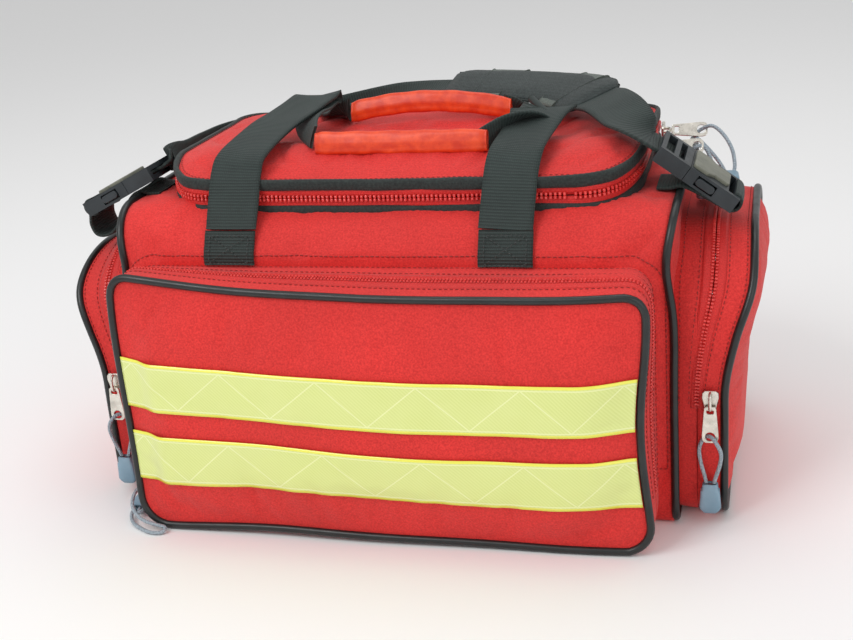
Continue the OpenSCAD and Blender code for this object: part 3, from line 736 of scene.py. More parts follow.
def relax(o, pinned, pressure=4.0, cap=0.010, shrink=-0.012, frames=18, stiff=18):
    """Lets the fabric of o puff and wrinkle between its pinned seams, and keeps the result in the mesh."""
    me = o.data
    group = o.vertex_groups.new(name="seams")
    weight = np.asarray(pinned, float)
    for w in np.unique(np.round(weight, 2)):
        if w > 0:
            group.add([int(i) for i in np.nonzero(np.round(weight, 2) == w)[0]], float(w), "REPLACE")
    before = points_of(o)
    m = o.modifiers.new("fabric", "CLOTH")
    s = m.settings
    s.quality = 6
    s.mass = 0.25
    s.tension_stiffness = s.compression_stiffness = stiff
    s.shear_stiffness = stiff / 3
    s.bending_stiffness = 0.35
    s.vertex_group_mass = "seams"
    s.use_pressure = True
    s.uniform_pressure_force = pressure
    s.shrink_min = shrink
    s.effector_weights.gravity = 0
    m.collision_settings.use_collision = False
    m.point_cache.frame_start, m.point_cache.frame_end = 1, frames + 2
    scene = bpy.context.scene
    for f in range(1, frames + 1):
        scene.frame_set(f)
    shaped = o.evaluated_get(bpy.context.evaluated_depsgraph_get()).to_mesh()
    after = np.array([v.co for v in shaped.vertices])
    o.evaluated_get(bpy.context.evaluated_depsgraph_get()).to_mesh_clear()
    o.modifiers.remove(m)
    move = np.nan_to_num(after - before)
    size = np.linalg.norm(move, axis=1, keepdims=True)
    move = move * np.minimum(1, cap / np.maximum(size, 1e-9)) * (1 - weight[:, None])
    move_points(o, before + move)
    me.update()
    scene.frame_set(1)
    return o


def attach(o, body, slot, *nodes):
    """Says what o moves with and, where a node is named, what it replaces. slot is not used."""
    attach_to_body(o, body)
    nodes = [n for n in nodes if n]
    if nodes:
        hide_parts(*nodes)
    return o


# ---- stitching ----


def dashes(name, path, out, mat, length=0.0026, gap=0.0014, radius=0.00035, lift=0.0002):
    s = lengths(path)
    at = np.arange(0, s[-1] - length, length + gap)
    a, b = sampled(s, at, path), sampled(s, at + length, path)
    o = unit(sampled(s, at, out))
    t = unit(b - a)
    w = np.cross(t, o)
    verts, faces = [], []
    for i in range(len(at)):
        k = len(verts)
        for p, r in ((a[i], 0.3), ((a[i] * 3 + b[i]) / 4, 1), ((a[i] + b[i] * 3) / 4, 1), (b[i], 0.3)):
            for c, d in ((1, 0), (0, 1), (-1, 0), (0, -1)):
                verts.append(p + o[i] * lift + radius * r * (w[i] * c + o[i] * d))
        for j in range(3):
            for m in range(4):
                faces.append(
                    (k + j * 4 + m, k + j * 4 + (m + 1) % 4, k + j * 4 + 4 + (m + 1) % 4, k + j * 4 + 4 + m)
                )
        faces += [(k + 3, k + 2, k + 1, k), (k + 12, k + 13, k + 14, k + 15)]
    return new_piece(name, verts, faces, mats=[mat])


def drape(path, direction, tree, lift=0.0004):
    """Drops a path onto a fabric surface; returns its points and the fabric's outward normals."""
    d = Vector(direction).normalized()
    out, normals = [], []
    for p in path:
        hit = tree.ray_cast(Vector(p) - d * 0.04, d, 0.08)
        if hit[0]:
            n = hit[1] if hit[1].dot(d) < 0 else -hit[1]
            out.append(hit[0] + n * lift)
            normals.append(n)
        else:
            out.append(Vector(p))
            normals.append(-d)
    return np.array(out), np.array(normals)


def tree_of(o):
    return BVHTree.FromPolygons(
        [v.co.copy() for v in o.data.vertices], [tuple(f.vertices) for f in o.data.polygons]
    )


surfaces = {}


# ---- main compartment ----


def inside_lid(x, y, grow):
    """How far a point is inside the lid's outline (positive inside)."""
    hw, y0, y1, r_rear, r_front = LID_DIMS
    hw, y0, y1 = hw + grow, y0 - grow, y1 + grow
    r = np.where(y > 0, r_rear, r_front) + grow
    qx = np.abs(x) - (hw - r)
    cy = np.where(y > 0, y1 - r, y0 + r)
    qy = np.where(y > 0, y - cy, cy - y)
    d = np.hypot(np.maximum(qx, 0), np.maximum(qy, 0)) - r + np.minimum(np.maximum(qx, qy), 0)
    return -d


def main_skin():
    pts, _, s = rounded(*BODY, 0.034, 0.008, 0.0042)
    xs = np.linspace(-BODY_END, BODY_END, 103)
    grid = np.zeros((len(xs), len(pts), 3))
    grid[..., 0] = xs[:, None]
    grid[..., 1] = pts[None, :, 0]
    grid[..., 2] = pts[None, :, 1]
    faces, corner = lattice_faces(len(xs), len(pts), False, True)
    verts = grid.reshape(-1, 3)
    top = verts[:, 2] > 0.2435
    inside = inside_lid(verts[:, 0], verts[:, 1], -0.0015)
    inside[~top] = -1
    centre = inside[faces].min(1)
    keep = centre <= 0.0
    lu, lv = xs + 0.3, np.append(s, s[-1] + 0.0042)
    uv = np.stack([lu[corner[..., 0]], lv[corner[..., 1]]], -1)
    faces, uv = faces[keep], uv[keep]
    used = np.zeros(len(verts), bool)
    used[faces] = True
    edge = used & (inside > 0)
    outline = lid_outline(0.0015, 0.001)[0]
    for i in np.nonzero(edge | (used & top & (inside > -0.0021)))[0]:
        d = outline - verts[i, :2]
        verts[i, :2] = outline[np.argmin((d**2).sum(1))]
    ends = []
    for side in (-1, 1):
        rings = []
        for t in np.linspace(0, 1, 24):
            q = inset(pts, *BODY, t)
            x = side * (BODY_END + 0.006 * math.sin(t * math.pi / 2))
            rings.append(placed(at_right, q, x))
        ends.append((side, np.array(rings)))
    base = len(verts)
    all_verts, all_faces, all_uv = [verts], [faces], [uv]
    for side, rings in ends:
        f, c = lattice_faces(len(rings), len(pts), False, True, flip=side < 0)
        lu2 = np.linspace(0, 0.12, len(rings))
        all_verts.append(rings.reshape(-1, 3))
        all_faces.append(f + base)
        all_uv.append(np.stack([lu2[c[..., 0]], lv[c[..., 1]]], -1))
        base += rings.shape[0] * rings.shape[1]
    v = np.vstack(all_verts)
    o = new_piece("main_fabric", v, np.vstack(all_faces), np.vstack(all_uv).reshape(-1, 2), [RED, LINING])
    weld(o, 0.0004)
    co = points_of(o)
    seam = np.exp(-(((np.abs(co[:, 0]) - BODY_END) / 0.004) ** 2))
    hole = np.where(co[:, 2] > 0.24, np.exp(-((inside_lid(co[:, 0], co[:, 1], -0.0015) / 0.004) ** 2)), 0)
    low = 1 - step(co[:, 2], 0.002, 0.02)
    pinned = np.clip(seam + hole + low, 0, 1)
    relax(o, pinned, 2.5, 0.0035, -0.010)
    co = points_of(o)
    soft = (1 - pinned)[:, None]
    out = unit(np.stack([0 * co[:, 0], co[:, 1], np.maximum(co[:, 2] - 0.12, 0)], 1))
    crease = noise(co * (0.45, 1, 1), 0.035, 6) + 0.6 * noise(co * (1, 0.5, 0.5), 0.020, 8)
    co = co + out * soft * 0.0016 * (crease * step(co[:, 2], 0.17, 0.22))[:, None]
    move_points(o, warp(co))
    surfaces["main"] = tree_of(o)
    thicken(o, 0.0030)
    o.modifiers["cloth_thickness"].material_offset = 1
    return attach(o, "bag", "red_fabric", "main_shell")


main_skin()


def sew(name, path, direction, cloth_name, body, **size):
    p, n = drape(path, direction, surfaces[cloth_name])
    return attach(dashes(name, p, n, THREAD, **size), body, "red_fabric")


for name, back in (("front", -1), ("rear", 1)):
    q = rounded(0.2075, -0.02, 0.2120, 0.026, 0.024, 0.002)[0]
    q = q[q[:, 1] > 0.045]
    q = q[np.argsort(np.arctan2(q[:, 1] - 0.08, q[:, 0]))]
    seam = placed(at_rear if back > 0 else at_front, q, BODY[0])
    sew(
        name + "_pocket_seam", seam, (0, -back, 0), "main", "bag", length=0.0030, gap=0.0010,
        radius=0.00045
    )


for side, name in ((1, "right"), (-1, "left")):
    path = placed(at_right, rounded(0.1235, 0.0035, 0.2450, 0.035, 0.010, 0.003)[0], side * 0.2140)
    attach(
        tube(name + "_main_piping", warp(path), 0.0030, [PIPING], True, 14), "bag", "black_piping",
        "bag_piping" if side > 0 else None
    )


def zip_teeth(name, path, out, pitch, body, size, closed=True):
    """A row of moulded teeth along a path. out points away from the bag."""
    t = unit(np.roll(path, -1, 0) - np.roll(path, 1, 0)) if closed else unit(np.gradient(path, axis=0))
    s = lengths(path)
    n = int(s[-1] / pitch)
    at = (np.arange(n) + 0.5) * pitch
    p, t, o = sampled(s, at, path), unit(sampled(s, at, t)), unit(sampled(s, at, out))
    w = unit(np.cross(t, o))
    a, b, c = size
    square = [(-1, -1), (1, -1), (1, 1), (-1, 1)]
    shape = [(x * k, y * k, z) for z, k in ((0, 1), (1, 0.7)) for x, y in square]
    quads = [(3, 2, 1, 0), (4, 5, 6, 7), (0, 1, 5, 4), (1, 2, 6, 5), (2, 3, 7, 6), (3, 0, 4, 7)]
    verts, faces = [], []
    for i in range(n):
        verts += [p[i] + t[i] * x * a + w[i] * y * b + o[i] * z * c for x, y, z in shape]
        faces += [tuple(8 * i + j for j in q) for q in quads]
    piece = new_piece(name, verts, faces, mats=[TEETH_RED], smooth=False)
    bevel(piece, 0.0003, 1)
    return attach(piece, body, "red_zip")


def part_of(mask, *arrays):
    """The longest run of rows where mask is true, on a closed outline."""
    n = len(mask)
    start = next((i for i in range(n) if mask[i] and not mask[i - 1]), 0)
    idx = []
    for k in range(n):
        i = (start + k) % n
        if not mask[i]:
            break
        idx.append(i)
    return [a[idx] for a in arrays]


def pocket_tub(name, shape, at, swell, back, zip_at, node, seed):
    """The half of a pocket that stays on the bag."""
    pts, nrm, s = shape
    tub_w = np.linspace(back - 0.002, zip_at + 0.0002, 9)
    grid = np.array([placed(at, pts + nrm * swell(w), w) for w in tub_w])
    o = surface(name + "_tub", grid, [RED], closed_v=True, uv=(tub_w, s), flip=True)
    co = points_of(o)
    crumple = [noise(co, 0.03, seed + k) for k in range(3)]
    crumple[2] = crumple[2] * (co[:, 2] > 0.02)
    move_points(o, warp(co + 0.0007 * np.stack(crumple, 1)))
    weld(o)
    thicken(o, 0.0016)
    attach(o, "bag", "red_fabric", node)


def pocket_cover(name, shape, dims, at, swell, zip_at, face, bulge, nodes, seed):
    """The front half of the gusset, then the face, with its edge turned in under the piping."""
    pts, nrm, s = shape
    hw, v0, v1 = dims
    gusset = np.linspace(zip_at + 0.0006, face - 0.002, 8)
    across = np.linspace(0, 1, 34)
    rows = [placed(at, pts + nrm * swell(w), w) for w in gusset]
    for t in across:
        edge = pts - nrm * 0.0012 * (t < 0.01)
        depth = face - 0.0005 + bulge * math.sin(min(t * 2.2, 1) * math.pi / 2)
        rows.append(placed(at, inset(edge, hw, v0, v1, t), depth))
    run = np.append(gusset, face + across * (v1 - v0) / 2)
    o = surface(name + "_cover", np.array(rows), [RED], closed_v=True, uv=(run, s), flip=True)
    weld(o, 0.0003)
    u, v, dist = back_to_plane(at, points_of(o))
    d = outline_distance(u, v, pts[::2])
    flat = dist > face - 0.003
    relax(o, np.where(flat, 1 - step(d, 0.001, 0.012), 1.0), 3.5, 0.006, -0.014)
    co = warp(points_of(o))
    ripple = 0.0011 * noise(co, 0.045, seed + 3) + 0.0006 * noise(co, 0.018, seed + 4)
    out = at(np.zeros(1), np.zeros(1), np.ones(1))[0]
    co = co + out * (ripple * np.where(flat, step(d, 0.0, 0.02), 0))[:, None]
    move_points(o, co)
    surfaces[name] = tree_of(o)
    thicken(o, 0.0016)
    edge = warp(placed(at, pts, face))
    low = edge[:, 2] < 0.006
    edge[low, 2] = np.maximum(edge[low, 2], 0.0035)
    pipe = tube(name + "_face_piping", edge, 0.0030, [PIPING], True, 14)
    for piece, slot, node in ((o, "red_fabric", nodes[0]), (pipe, "black_piping", nodes[1])):
        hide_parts(node)
        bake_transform(piece)


def pocket_zip(name, shape, at, swell, back, zip_at, face, fold, bag_node, cover_node):
    """The zip round a pocket above its fold, and the stitch lines beside it."""
    pts, nrm, _ = shape
    zp, zn = part_of(pts[:, 1] > fold + 0.002, pts, nrm)
    outward = placed(at, zn, 0.0)
    cover = name + "_cover"
    stitched = (
        (back + 0.0055, "bag"), (zip_at - 0.0095, "bag"), (zip_at + 0.0095, cover),
        (face - 0.0048, cover)
    )
    for k, (w, body) in enumerate(stitched):
        line = warp(placed(at, zp + zn * (swell(w) + 0.0002), w))
        attach(dashes("%s_stitch_%d" % (name, k + 1), line, outward, THREAD), body, "red_fabric")
    for part, sign, body, node in (("bag_zip", -1, "bag", bag_node), ("cover_zip", 1, cover, cover_node)):
        w = zip_at + sign * np.array([0.0004, 0.0030, 0.0058, 0.0080])
        height = (0.0020, 0.0021, 0.0020, 0.0016)
        g = np.array([warp(placed(at, zp + zn * u, k)) for k, u in zip(w, height)])
        tape = surface(name + "_" + part, g, [RED_TAPE], flip=sign > 0)
        weld(tape)
        thicken(tape, 0.0008)
        attach(tape, body, "red_zip", node)
        path = warp(placed(at, zp + zn * 0.0021, zip_at + sign * 0.0014))
        zip_teeth(
            name + "_" + part + "_teeth", path, outward, 0.0026, body, (0.0009, 0.0013, 0.0013), False
        )


def pocket(name, shape, dims, at, back, zip_at, face, fold, bulge, fold_points, bag_zip_node, seed):
    swell = lambda w: 0.0016 * np.sin(np.pi * np.clip((w - back) / (face - back), 0, 1))
    pocket_tub(name, shape, at, swell, back, zip_at, name + "_pocket", seed)
    nodes = (name + "_panel", name + "_piping")
    pocket_cover(name, shape, dims, at, swell, zip_at, face, bulge, nodes, seed)
    pocket_zip(name, shape, at, swell, back, zip_at, face, fold, bag_zip_node, name + "_zip")


def back_to_plane(at, co):
    if at is at_front:
        return co[:, 0], co[:, 2], -co[:, 1]
    if at is at_rear:
        return -co[:, 0], co[:, 2], co[:, 1]
    if at is at_right:
        return co[:, 1], co[:, 2], co[:, 0]
    return -co[:, 1], co[:, 2], -co[:, 0]


def outline_distance(u, v, pts):
    out = np.zeros(len(u))
    for i in range(0, len(u), 4000):
        d = (u[i : i + 4000, None] - pts[None, :, 0]) ** 2 + (v[i : i + 4000, None] - pts[None, :, 1]) ** 2
        out[i : i + 4000] = np.sqrt(d.min(1))
    return out


# where each kind of pocket starts, where its zip and its face are, how high its cover folds
# and how far the face bulges
long_depths = (BODY[0], 0.1475, 0.172, 0.038, 0.004)
short_depths = (BODY_END, 0.238, 0.264, 0.090, 0.003)
for name, at, side, bag_zip_node, seed in (
    ("front", at_front, -1, "zip_tapes", 11), ("rear", at_rear, 1, None, 17)
):
    fold_points = ((0, side * 0.1755, 0.030), (0, side * 0.1755, 0.046))
    pocket(name, LONG_OUTLINE, LONG, at, *long_depths, fold_points, bag_zip_node, seed)
for name, at, side, seed in (("right", at_right, 1, 23), ("left", at_left, -1, 29)):
    fold_points = ((side * 0.2675, 0, 0.080), (side * 0.2675, 0, 0.100))
    pocket(name, SHORT_OUTLINE, SHORT, at, *short_depths, fold_points, None, seed)

# ---- reflective strips ----


def strip(name, low, node, seed):
    """Tape laid on the cover as it really hangs: each point is dropped onto the fabric from the front."""
    xs = np.linspace(-0.1970, 0.1965, 200)
    vs = np.linspace(-0.02, 0.02, 15)
    grid = np.zeros((len(xs), len(vs), 3))
    grid[..., 0] = xs[:, None]
    grid[..., 2] = (low + 0.020 + vs)[None, :]
    grid[..., 1] = -long_depths[2]
    grid = warp(grid)
    grid[..., 2] += 0.0011 * noise(grid * (1, 0, 0), 0.09, seed + 1)
    for i in range(len(xs)):
        for j in range(len(vs)):
            x, _, z = grid[i, j]
            hit = surfaces["front"].ray_cast(Vector((x, -0.30, z)), Vector((0, 1, 0)), 0.25)
            if hit[0]:
                grid[i, j, 1] = hit[0].y
    kernel = np.ones(7) / 7
    for j in range(len(vs)):
        y = np.pad(grid[:, j, 1], 3, mode="edge")
        grid[:, j, 1] = np.convolve(y, kernel, "valid")
    fold = np.exp(-(((grid[..., 0] + 0.170) / 0.007) ** 2))
    fold -= 0.5 * np.exp(-(((grid[..., 0] + 0.182) / 0.005) ** 2))
    grid[..., 1] -= 0.0013 + 0.0016 * np.clip(fold, -0.4, 1)
    o = surface(name, grid, [REFLECTIVE], uv=(xs, vs), flip=True)
    thicken(o, 0.0007)
    attach(o, "front_cover", "reflective", node)


strip("upper_strip_tape", 0.103, "upper_strip", 41)
strip("lower_strip_tape", 0.042, "lower_strip", 43)

# ---- lid ----


def ring_band(name, z0, z1, out, body, node, wave, seed):
    """Gathered binding around the lid: a soft flattened roll whose edges wander."""
    pts, nrm, s = rounded(*LID_DIMS, 0.0026)
    a = np.linspace(0, 2 * np.pi, 20, endpoint=False)
    zc, hz = (z0 + z1) / 2, (z1 - z0) / 2
    p3 = level(pts, zc)
    shift = wave * noise(p3, 0.055, seed) + 0.4 * wave * noise(p3, 0.02, seed + 1)
    thick = 0.0023 + 0.0007 * noise(p3, 0.012, seed + 2)
    tall = hz * (1 + 0.10 * noise(p3, 0.03, seed + 3))
    pull = 0.0006 * noise(p3, 0.016, seed + 4)
    grid = np.zeros((len(pts), len(a), 3))
    for j, t in enumerate(a):
        off = out + pull + thick * squarish(math.cos(t), 0.8)
        crease = 0.0003 * np.sin(s * 2 * np.pi / 0.006 + 2 * noise(p3, 0.02, seed)) * max(math.cos(t), 0)
        grid[:, j, :2] = pts + nrm * (off + crease)[:, None]
        grid[:, j, 2] = zc + shift + tall * squarish(math.sin(t), 0.7)
    o = surface(name, lid_lean(grid), [BINDING], True, True, uv=(s, a * 0.003))
    weld(o)
    return attach(o, body, "black_binding", node)


def lid_lean(p):
    """How the soft rim and lid lie: lower along the front edge, most of all in its middle."""
    x, y, z = p[..., 0], p[..., 1], p[..., 2]
    up = np.clip((z - 0.246) / 0.02, 0, 1)
    droop = step(-y, 0.040, 0.088)
    dz = -0.0085 * droop - 0.0020 * up * droop * np.clip(1 - (x / 0.17) ** 2, 0, 1)
    dz = dz + 0.0012 * up * noise(p * (1, 1, 0.2), 0.10, 61)
    dn = 0.0008 * noise(p, 0.05, 63)
    return p + np.stack([dn * (np.abs(x) > 0.17), dn - 0.012 * droop, dz], -1)


ring_band("opening_rim", 0.2438, 0.2525, -0.0006, "bag", "opening_binding", 0.0007, 71)
ring_band("lid_rim", 0.2648, 0.2738, -0.0004, "lid", "lid_binding", 0.0008, 77)


def lid_zip_band(name, body, heights, teeth_z, node):
    """Half of the zip that runs all the way round the lid."""
    pts, nrm, s = rounded(*LID_DIMS, 0.0026)
    outward = (-0.0006, 0.0, 0.0, -0.0004)
    g = np.array([level(pts + nrm * k, z) for z, k in zip(heights, outward)])
    tape = surface(name, lid_lean(g), [RED_TAPE], closed_v=True, uv=(np.array(heights), s))
    weld(tape)
    thicken(tape, 0.0012)
    attach(tape, body, "red_zip", node)
    path = lid_lean(level(pts + nrm * 0.0002, teeth_z))
    zip_teeth(name + "_teeth", path, level(nrm, 0.0), 0.0034, body, (0.0012, 0.0014, 0.0019))


lid_zip_band("rim_zip_lower", "bag", (0.2500, 0.2525, 0.2550, 0.2581), 0.2572, None)
lid_zip_band("rim_zip_upper", "lid", (0.2589, 0.2620, 0.2650, 0.2672), 0.2601, "lid_zip")


def lid_top():
    pts, _, s = lid_outline(0.0005, 0.0034)
    hw, y0, y1 = LID_DIMS[0] - 0.0005, LID_DIMS[1] + 0.0005, LID_DIMS[2] - 0.0005
    edge_z = (0.2648, 0.2675, 0.2705)
    across = np.linspace(0, 1, 44)[1:]
    rows = [level(pts, z) for z in edge_z]
    for t in across:
        rise = 0.0052 * math.sin(min(t * 5, 1) * math.pi / 2)
        h = edge_z[-1] + rise - 0.0022 * step(np.array(t), 0.35, 1.0)
        rows.append(level(inset(pts, hw, y0, y1, t), h))
    run = np.append(edge_z, 0.28 + across * 0.083)
    o = surface("lid_fabric", np.array(rows), [RED, LINING], closed_v=True, uv=(run, s))
    weld(o, 0.0003)
    co = points_of(o)
    d = inside_lid(co[:, 0], co[:, 1], -0.0005)
    relax(o, np.clip(1 - step(d, 0.002, 0.014), 0, 1), 2.0, 0.0035, -0.02)
    co = lid_lean(points_of(o))
    d = step(inside_lid(co[:, 0], co[:, 1], -0.0005), 0.0, 0.02)
    folds = 0.0014 * noise(co * (0.6, 1, 1), 0.05, 81) + 0.0007 * noise(co, 0.022, 83)
    co[:, 2] += d * (folds - 0.0010)
    move_points(o, co)
    surfaces["lid"] = tree_of(o)
    thicken(o, 0.0030)
    o.modifiers["cloth_thickness"].material_offset = 1
    attach(o, "lid", "red_fabric", "lid_panel")
    q = rounded(0.1815, -0.0815, 0.1005, 0.0160, 0.0410, 0.002)[0]
    line = lid_lean(level(q, 0.275))
    sew("lid_stitch", np.vstack([line, line[:1]]), (0, 0, -1), "lid", "lid")


lid_top()

# ---- handles ----


# radius and centre of the long rounded edge at the bag's top, in mm
SHOULDER_R, SHOULDER_Y, SHOULDER_Z = 34, 89, 210


def shoulder(x, side, angle, off):
    """The point on the bag's rounded shoulder at this angle, off mm out from it."""
    a, r = math.radians(angle), SHOULDER_R + off
    return (x, side * (SHOULDER_Y + r * math.cos(a)), SHOULDER_Z + r * math.sin(a))


def rows(points, across, widths):
    """Ribbon rows, in metres, from points, width directions and widths in mm."""
    w = [widths] * len(points) if isinstance(widths, (int, float)) else widths
    return [[*(np.array(p, float) * MM), *a, k * MM] for p, a, k in zip(points, across, w)]


def warped_rows(r):
    r = np.array(r, float)
    r[:, :3] = warp(r[:, :3])
    return r


SIDE = (1, 0, 0)
TAIL_ANGLES = [-6, 0, 8, 17, 26, 34]
TAIL_X = {-1: {-1: -118.5, 1: 94.5}, 1: {-1: -105, 1: 105}}


def tail_lift(x, side):
    """How far, in mm, a sewn tail must stand out to lie on the fabric over its whole width."""
    lifts = []
    for a, share in zip(TAIL_ANGLES, (1, 1, 1, 1, 0.6, 0)):
        out = Vector((0, side * math.cos(math.radians(a)), math.sin(math.radians(a))))
        need = 0.0
        for dx in np.linspace(-19, 19, 9):
            p = Vector(warp(mm(shoulder(x + dx, side, a, 1.7))))
            hit = surfaces["main"].ray_cast(p + out * 0.03, -out, 0.06)
            if hit[0]:
                need = max(need, (hit[0] - p).dot(out) + 0.0014)
        lifts.append(share * min(need / MM, 5.0))
    return lifts


TAIL_LIFT = {(side, s): tail_lift(TAIL_X[side][s], side) for side in (-1, 1) for s in (-1, 1)}


def tail_points(side, s):
    x = TAIL_X[side][s]
    return [shoulder(x, side, a, 1.7 + k) for a, k in zip(TAIL_ANGLES, TAIL_LIFT[side, s])]


for s, name in ((-1, "left"), (1, "right")):
    p = tail_points(-1, s)
    tail = ribbon("front_tail_" + name, warped_rows(rows(p, [SIDE] * len(p), 40)), [WEB], seed=3 + s)
    attach(tail, "bag", "black_webbing", "front_handle_tails")
    p = tail_points(1, s) + [(s * 105, 113.5, 240.5), (s * 105, 110.6, 249), (s * 105, 109.3, 258)]
    width = [40] * 6 + [38, 36, 36]
    tail = ribbon("rear_tail_" + name, warped_rows(rows(p, [SIDE] * len(p), width)), [WEB], seed=7 + s)
    attach(tail, "bag", "black_webbing", "rear_handle_tails")

STITCH = cloth("web_thread", (0.020, 0.028, 0.027), (0.055, 0.072, 0.068), 0.0008, 0.6, 1500)


BOX_CORNERS = ((-1, 0), (1, 0), (1, 1), (-1, 1))
BOX_LINES = ((0, 1), (1, 2), (2, 3), (3, 0), (0, 2), (1, 3))


def sewn_box(name, side, s, low=-3, high=27, half=15.5):
    """The box and cross that hold a webbing end to the shoulder of the bag."""
    x = TAIL_X[side][s]
    corner = [(i * half, high if j else low) for i, j in BOX_CORNERS]
    lines = []
    for a, b in BOX_LINES:
        t = np.linspace(0, 1, 12)
        dx = corner[a][0] + t * (corner[b][0] - corner[a][0])
        ang = corner[a][1] + t * (corner[b][1] - corner[a][1])
        lift = np.interp(ang, TAIL_ANGLES, TAIL_LIFT[side, s])
        pts = mm([shoulder(x + i, side, j, 3.5 + k) for i, j, k in zip(dx, ang, lift)])
        rad = np.radians(ang)
        out = np.stack([0 * rad, side * np.cos(rad), np.sin(rad)], 1)
        lines.append(dashes(name, warp(pts), out, STITCH, 0.0022, 0.0012, 0.0004))
    attach(join(name + "_stitches", lines), "bag", "black_webbing")


for s, name in ((-1, "left"), (1, "right")):
    sewn_box("front_tail_" + name, -1, s)
    sewn_box("rear_tail_" + name, 1, s)

# the handles' webbing: places in mm, the direction of its width at each, and widths in mm
LEFT_ROUTE = [
    (-118, -118.5, 230.5), (-118, -107, 250), (-118, -95.5, 268), (-116, -82, 280), (-109, -38, 290),
    (-98, 8, 297), (-93, 32, 301), (-91, 39, 299), (-92, 32, 294), (-89, 10, 290), (-80, -25, 288.5),
    (-66, -58, 286.5)
]
LEFT_ACROSS = [
    (1, 0, 0), (1, 0.05, 0), (1, 0.05, 0), (1, -0.05, 0), (1, -0.1, 0), (1, -0.1, 0), (1, 0, 0),
    (1, 0.1, 0), (1, 0.2, 0.1), (0.9, 0.3, 0.3), (0.6, 0.3, 0.7), (0.3, 0.1, 1)
]
RIGHT_ROUTE = [
    (94, -118.5, 230.5), (95, -107, 250), (96, -95.5, 268), (98, -82, 280), (101, -55, 286),
    (104, -32, 291), (107, -12, 296)
]
RIGHT_ACROSS = [
    (1, 0, 0), (1, 0, 0), (1, 0, 0), (1, 0, 0), (1, -0.1, 0), (0.8, -0.6, 0), (0.50, -0.86, -0.16)
]
RIGHT_WIDTH = [40, 40, 40, 40, 40.5, 46, 54]
RETURN_ROUTE = [(106, -12, 292.5), (97, -20, 291), (88, -32, 289), (79, -45, 286), (68, -59, 283)]
RETURN_ACROSS = [
    (0.50, -0.86, -0.16), (0.45, -0.85, 0.1), (0.4, -0.6, 0.5), (0.15, -0.1, 0.9), (0, 0.35, 1)
]
RETURN_WIDTH = [53, 44, 32, 22, 16]
FRONT_WIDTH = [40] * 8 + [36, 32, 26, 18]
REAR_ROUTE = [
    (105, 109.3, 259), (105, 109.6, 269), (104, 106, 277.5), (100, 94, 280), (93, 74, 280),
    (82, 53, 281), (66, 37, 287.5)
]
REAR_ACROSS = [
    (1, 0, 0), (1, 0, 0), (1, 0, 0), (1, -0.2, 0), (1, -0.5, 0), (0.9, -0.5, 0.05), (0.1, 0.3, 1)
]
REAR_WIDTH = [36, 36, 36, 34, 28, 20, 18]
flip_x = lambda r: [(-x, y, z) for x, y, z in r]

for name, *run in (
    ("left", LEFT_ROUTE, LEFT_ACROSS, FRONT_WIDTH),
    ("right", RIGHT_ROUTE, RIGHT_ACROSS, RIGHT_WIDTH),
    ("right_return", RETURN_ROUTE, RETURN_ACROSS, RETURN_WIDTH),
):
    o = ribbon("front_handle_" + name, rows(*run), [WEB], seed=21, soft=0.0006)
    attach(o, "front_handle", "black_webbing", "front_handle_webbing" if name == "left" else None)
fold = mm((107, -12, 294.3) + np.linspace(-27, 27, 24)[:, None] * unit(np.array(RETURN_ACROSS[0])))
attach(tube("front_handle_right_fold", fold, 0.0028, [WEB], sides=12), "front_handle", "black_webbing")
for name, route, across in (
    ("left", flip_x(REAR_ROUTE), flip_x(REAR_ACROSS)), ("right", REAR_ROUTE, REAR_ACROSS)
):
    o = ribbon("rear_handle_" + name, rows(route, across, REAR_WIDTH), [WEB], seed=25, soft=0.0006)
    attach(o, "rear_handle", "black_webbing", "rear_handle_webbing" if name == "left" else None)


def grip_sleeve(name, y, z, rise, body, node, seed, shift=0.004):
    """A flattened sleeve wrapped round the folded webbing, its flap lapped over along the front."""
    half, n = 0.068, 90
    x = np.linspace(-half, half, n)
    a = np.linspace(0, 2 * np.pi, 36, endpoint=False)
    tilt = math.atan2(0.35, 1)
    up = np.array((0, math.sin(tilt), math.cos(tilt)))
    out = np.array((0, -math.cos(tilt), math.sin(tilt)))
    grid = np.zeros((n, len(a), 3))
    end = step(half - np.abs(x), 0.0, 0.006)
    for i in range(n):
        centre = np.array((x[i] + shift, y * MM, (z + rise * (1 - (x[i] / half) ** 2)) * MM))
        h = 0.0088 * (0.90 + 0.10 * end[i]) * (1 + 0.03 * math.sin(i * 0.35))
        t = 0.0042 * (0.75 + 0.25 * end[i])
        for j, k in enumerate(a):
            c, s = math.cos(k), math.sin(k)
            lap = 0.0009 * step(np.array(s), -0.35, -0.25) * (c > 0)
            grid[i, j] = centre + up * h * squarish(s, 0.75) + out * (t * squarish(c, 0.7) + lap)
    puckers = 0.0005 * noise(grid, 0.022, seed) + 0.0003 * noise(grid * (1, 3, 3), 0.012, seed + 1)
    grid += puckers[..., None] * out
    o = surface(name, grid, [GRIP], closed_v=True, caps=True, uv=(x + 0.1, a * 0.005), flip=True)
    return attach(o, body, "red_grip", node)


grip_sleeve("front_grip_sleeve", -60, 282, 0, "front_handle", "front_handle_grip", 91)
grip_sleeve("rear_grip_sleeve", 38, 285, 8, "rear_handle", "rear_handle_grip", 93)

# ---- shoulder strap ----


def on_buckle(centre, tilt, side, x):
    t = math.radians(tilt)
    return (centre[0] - side * x * math.cos(t), centre[1], centre[2] + x * math.sin(t))


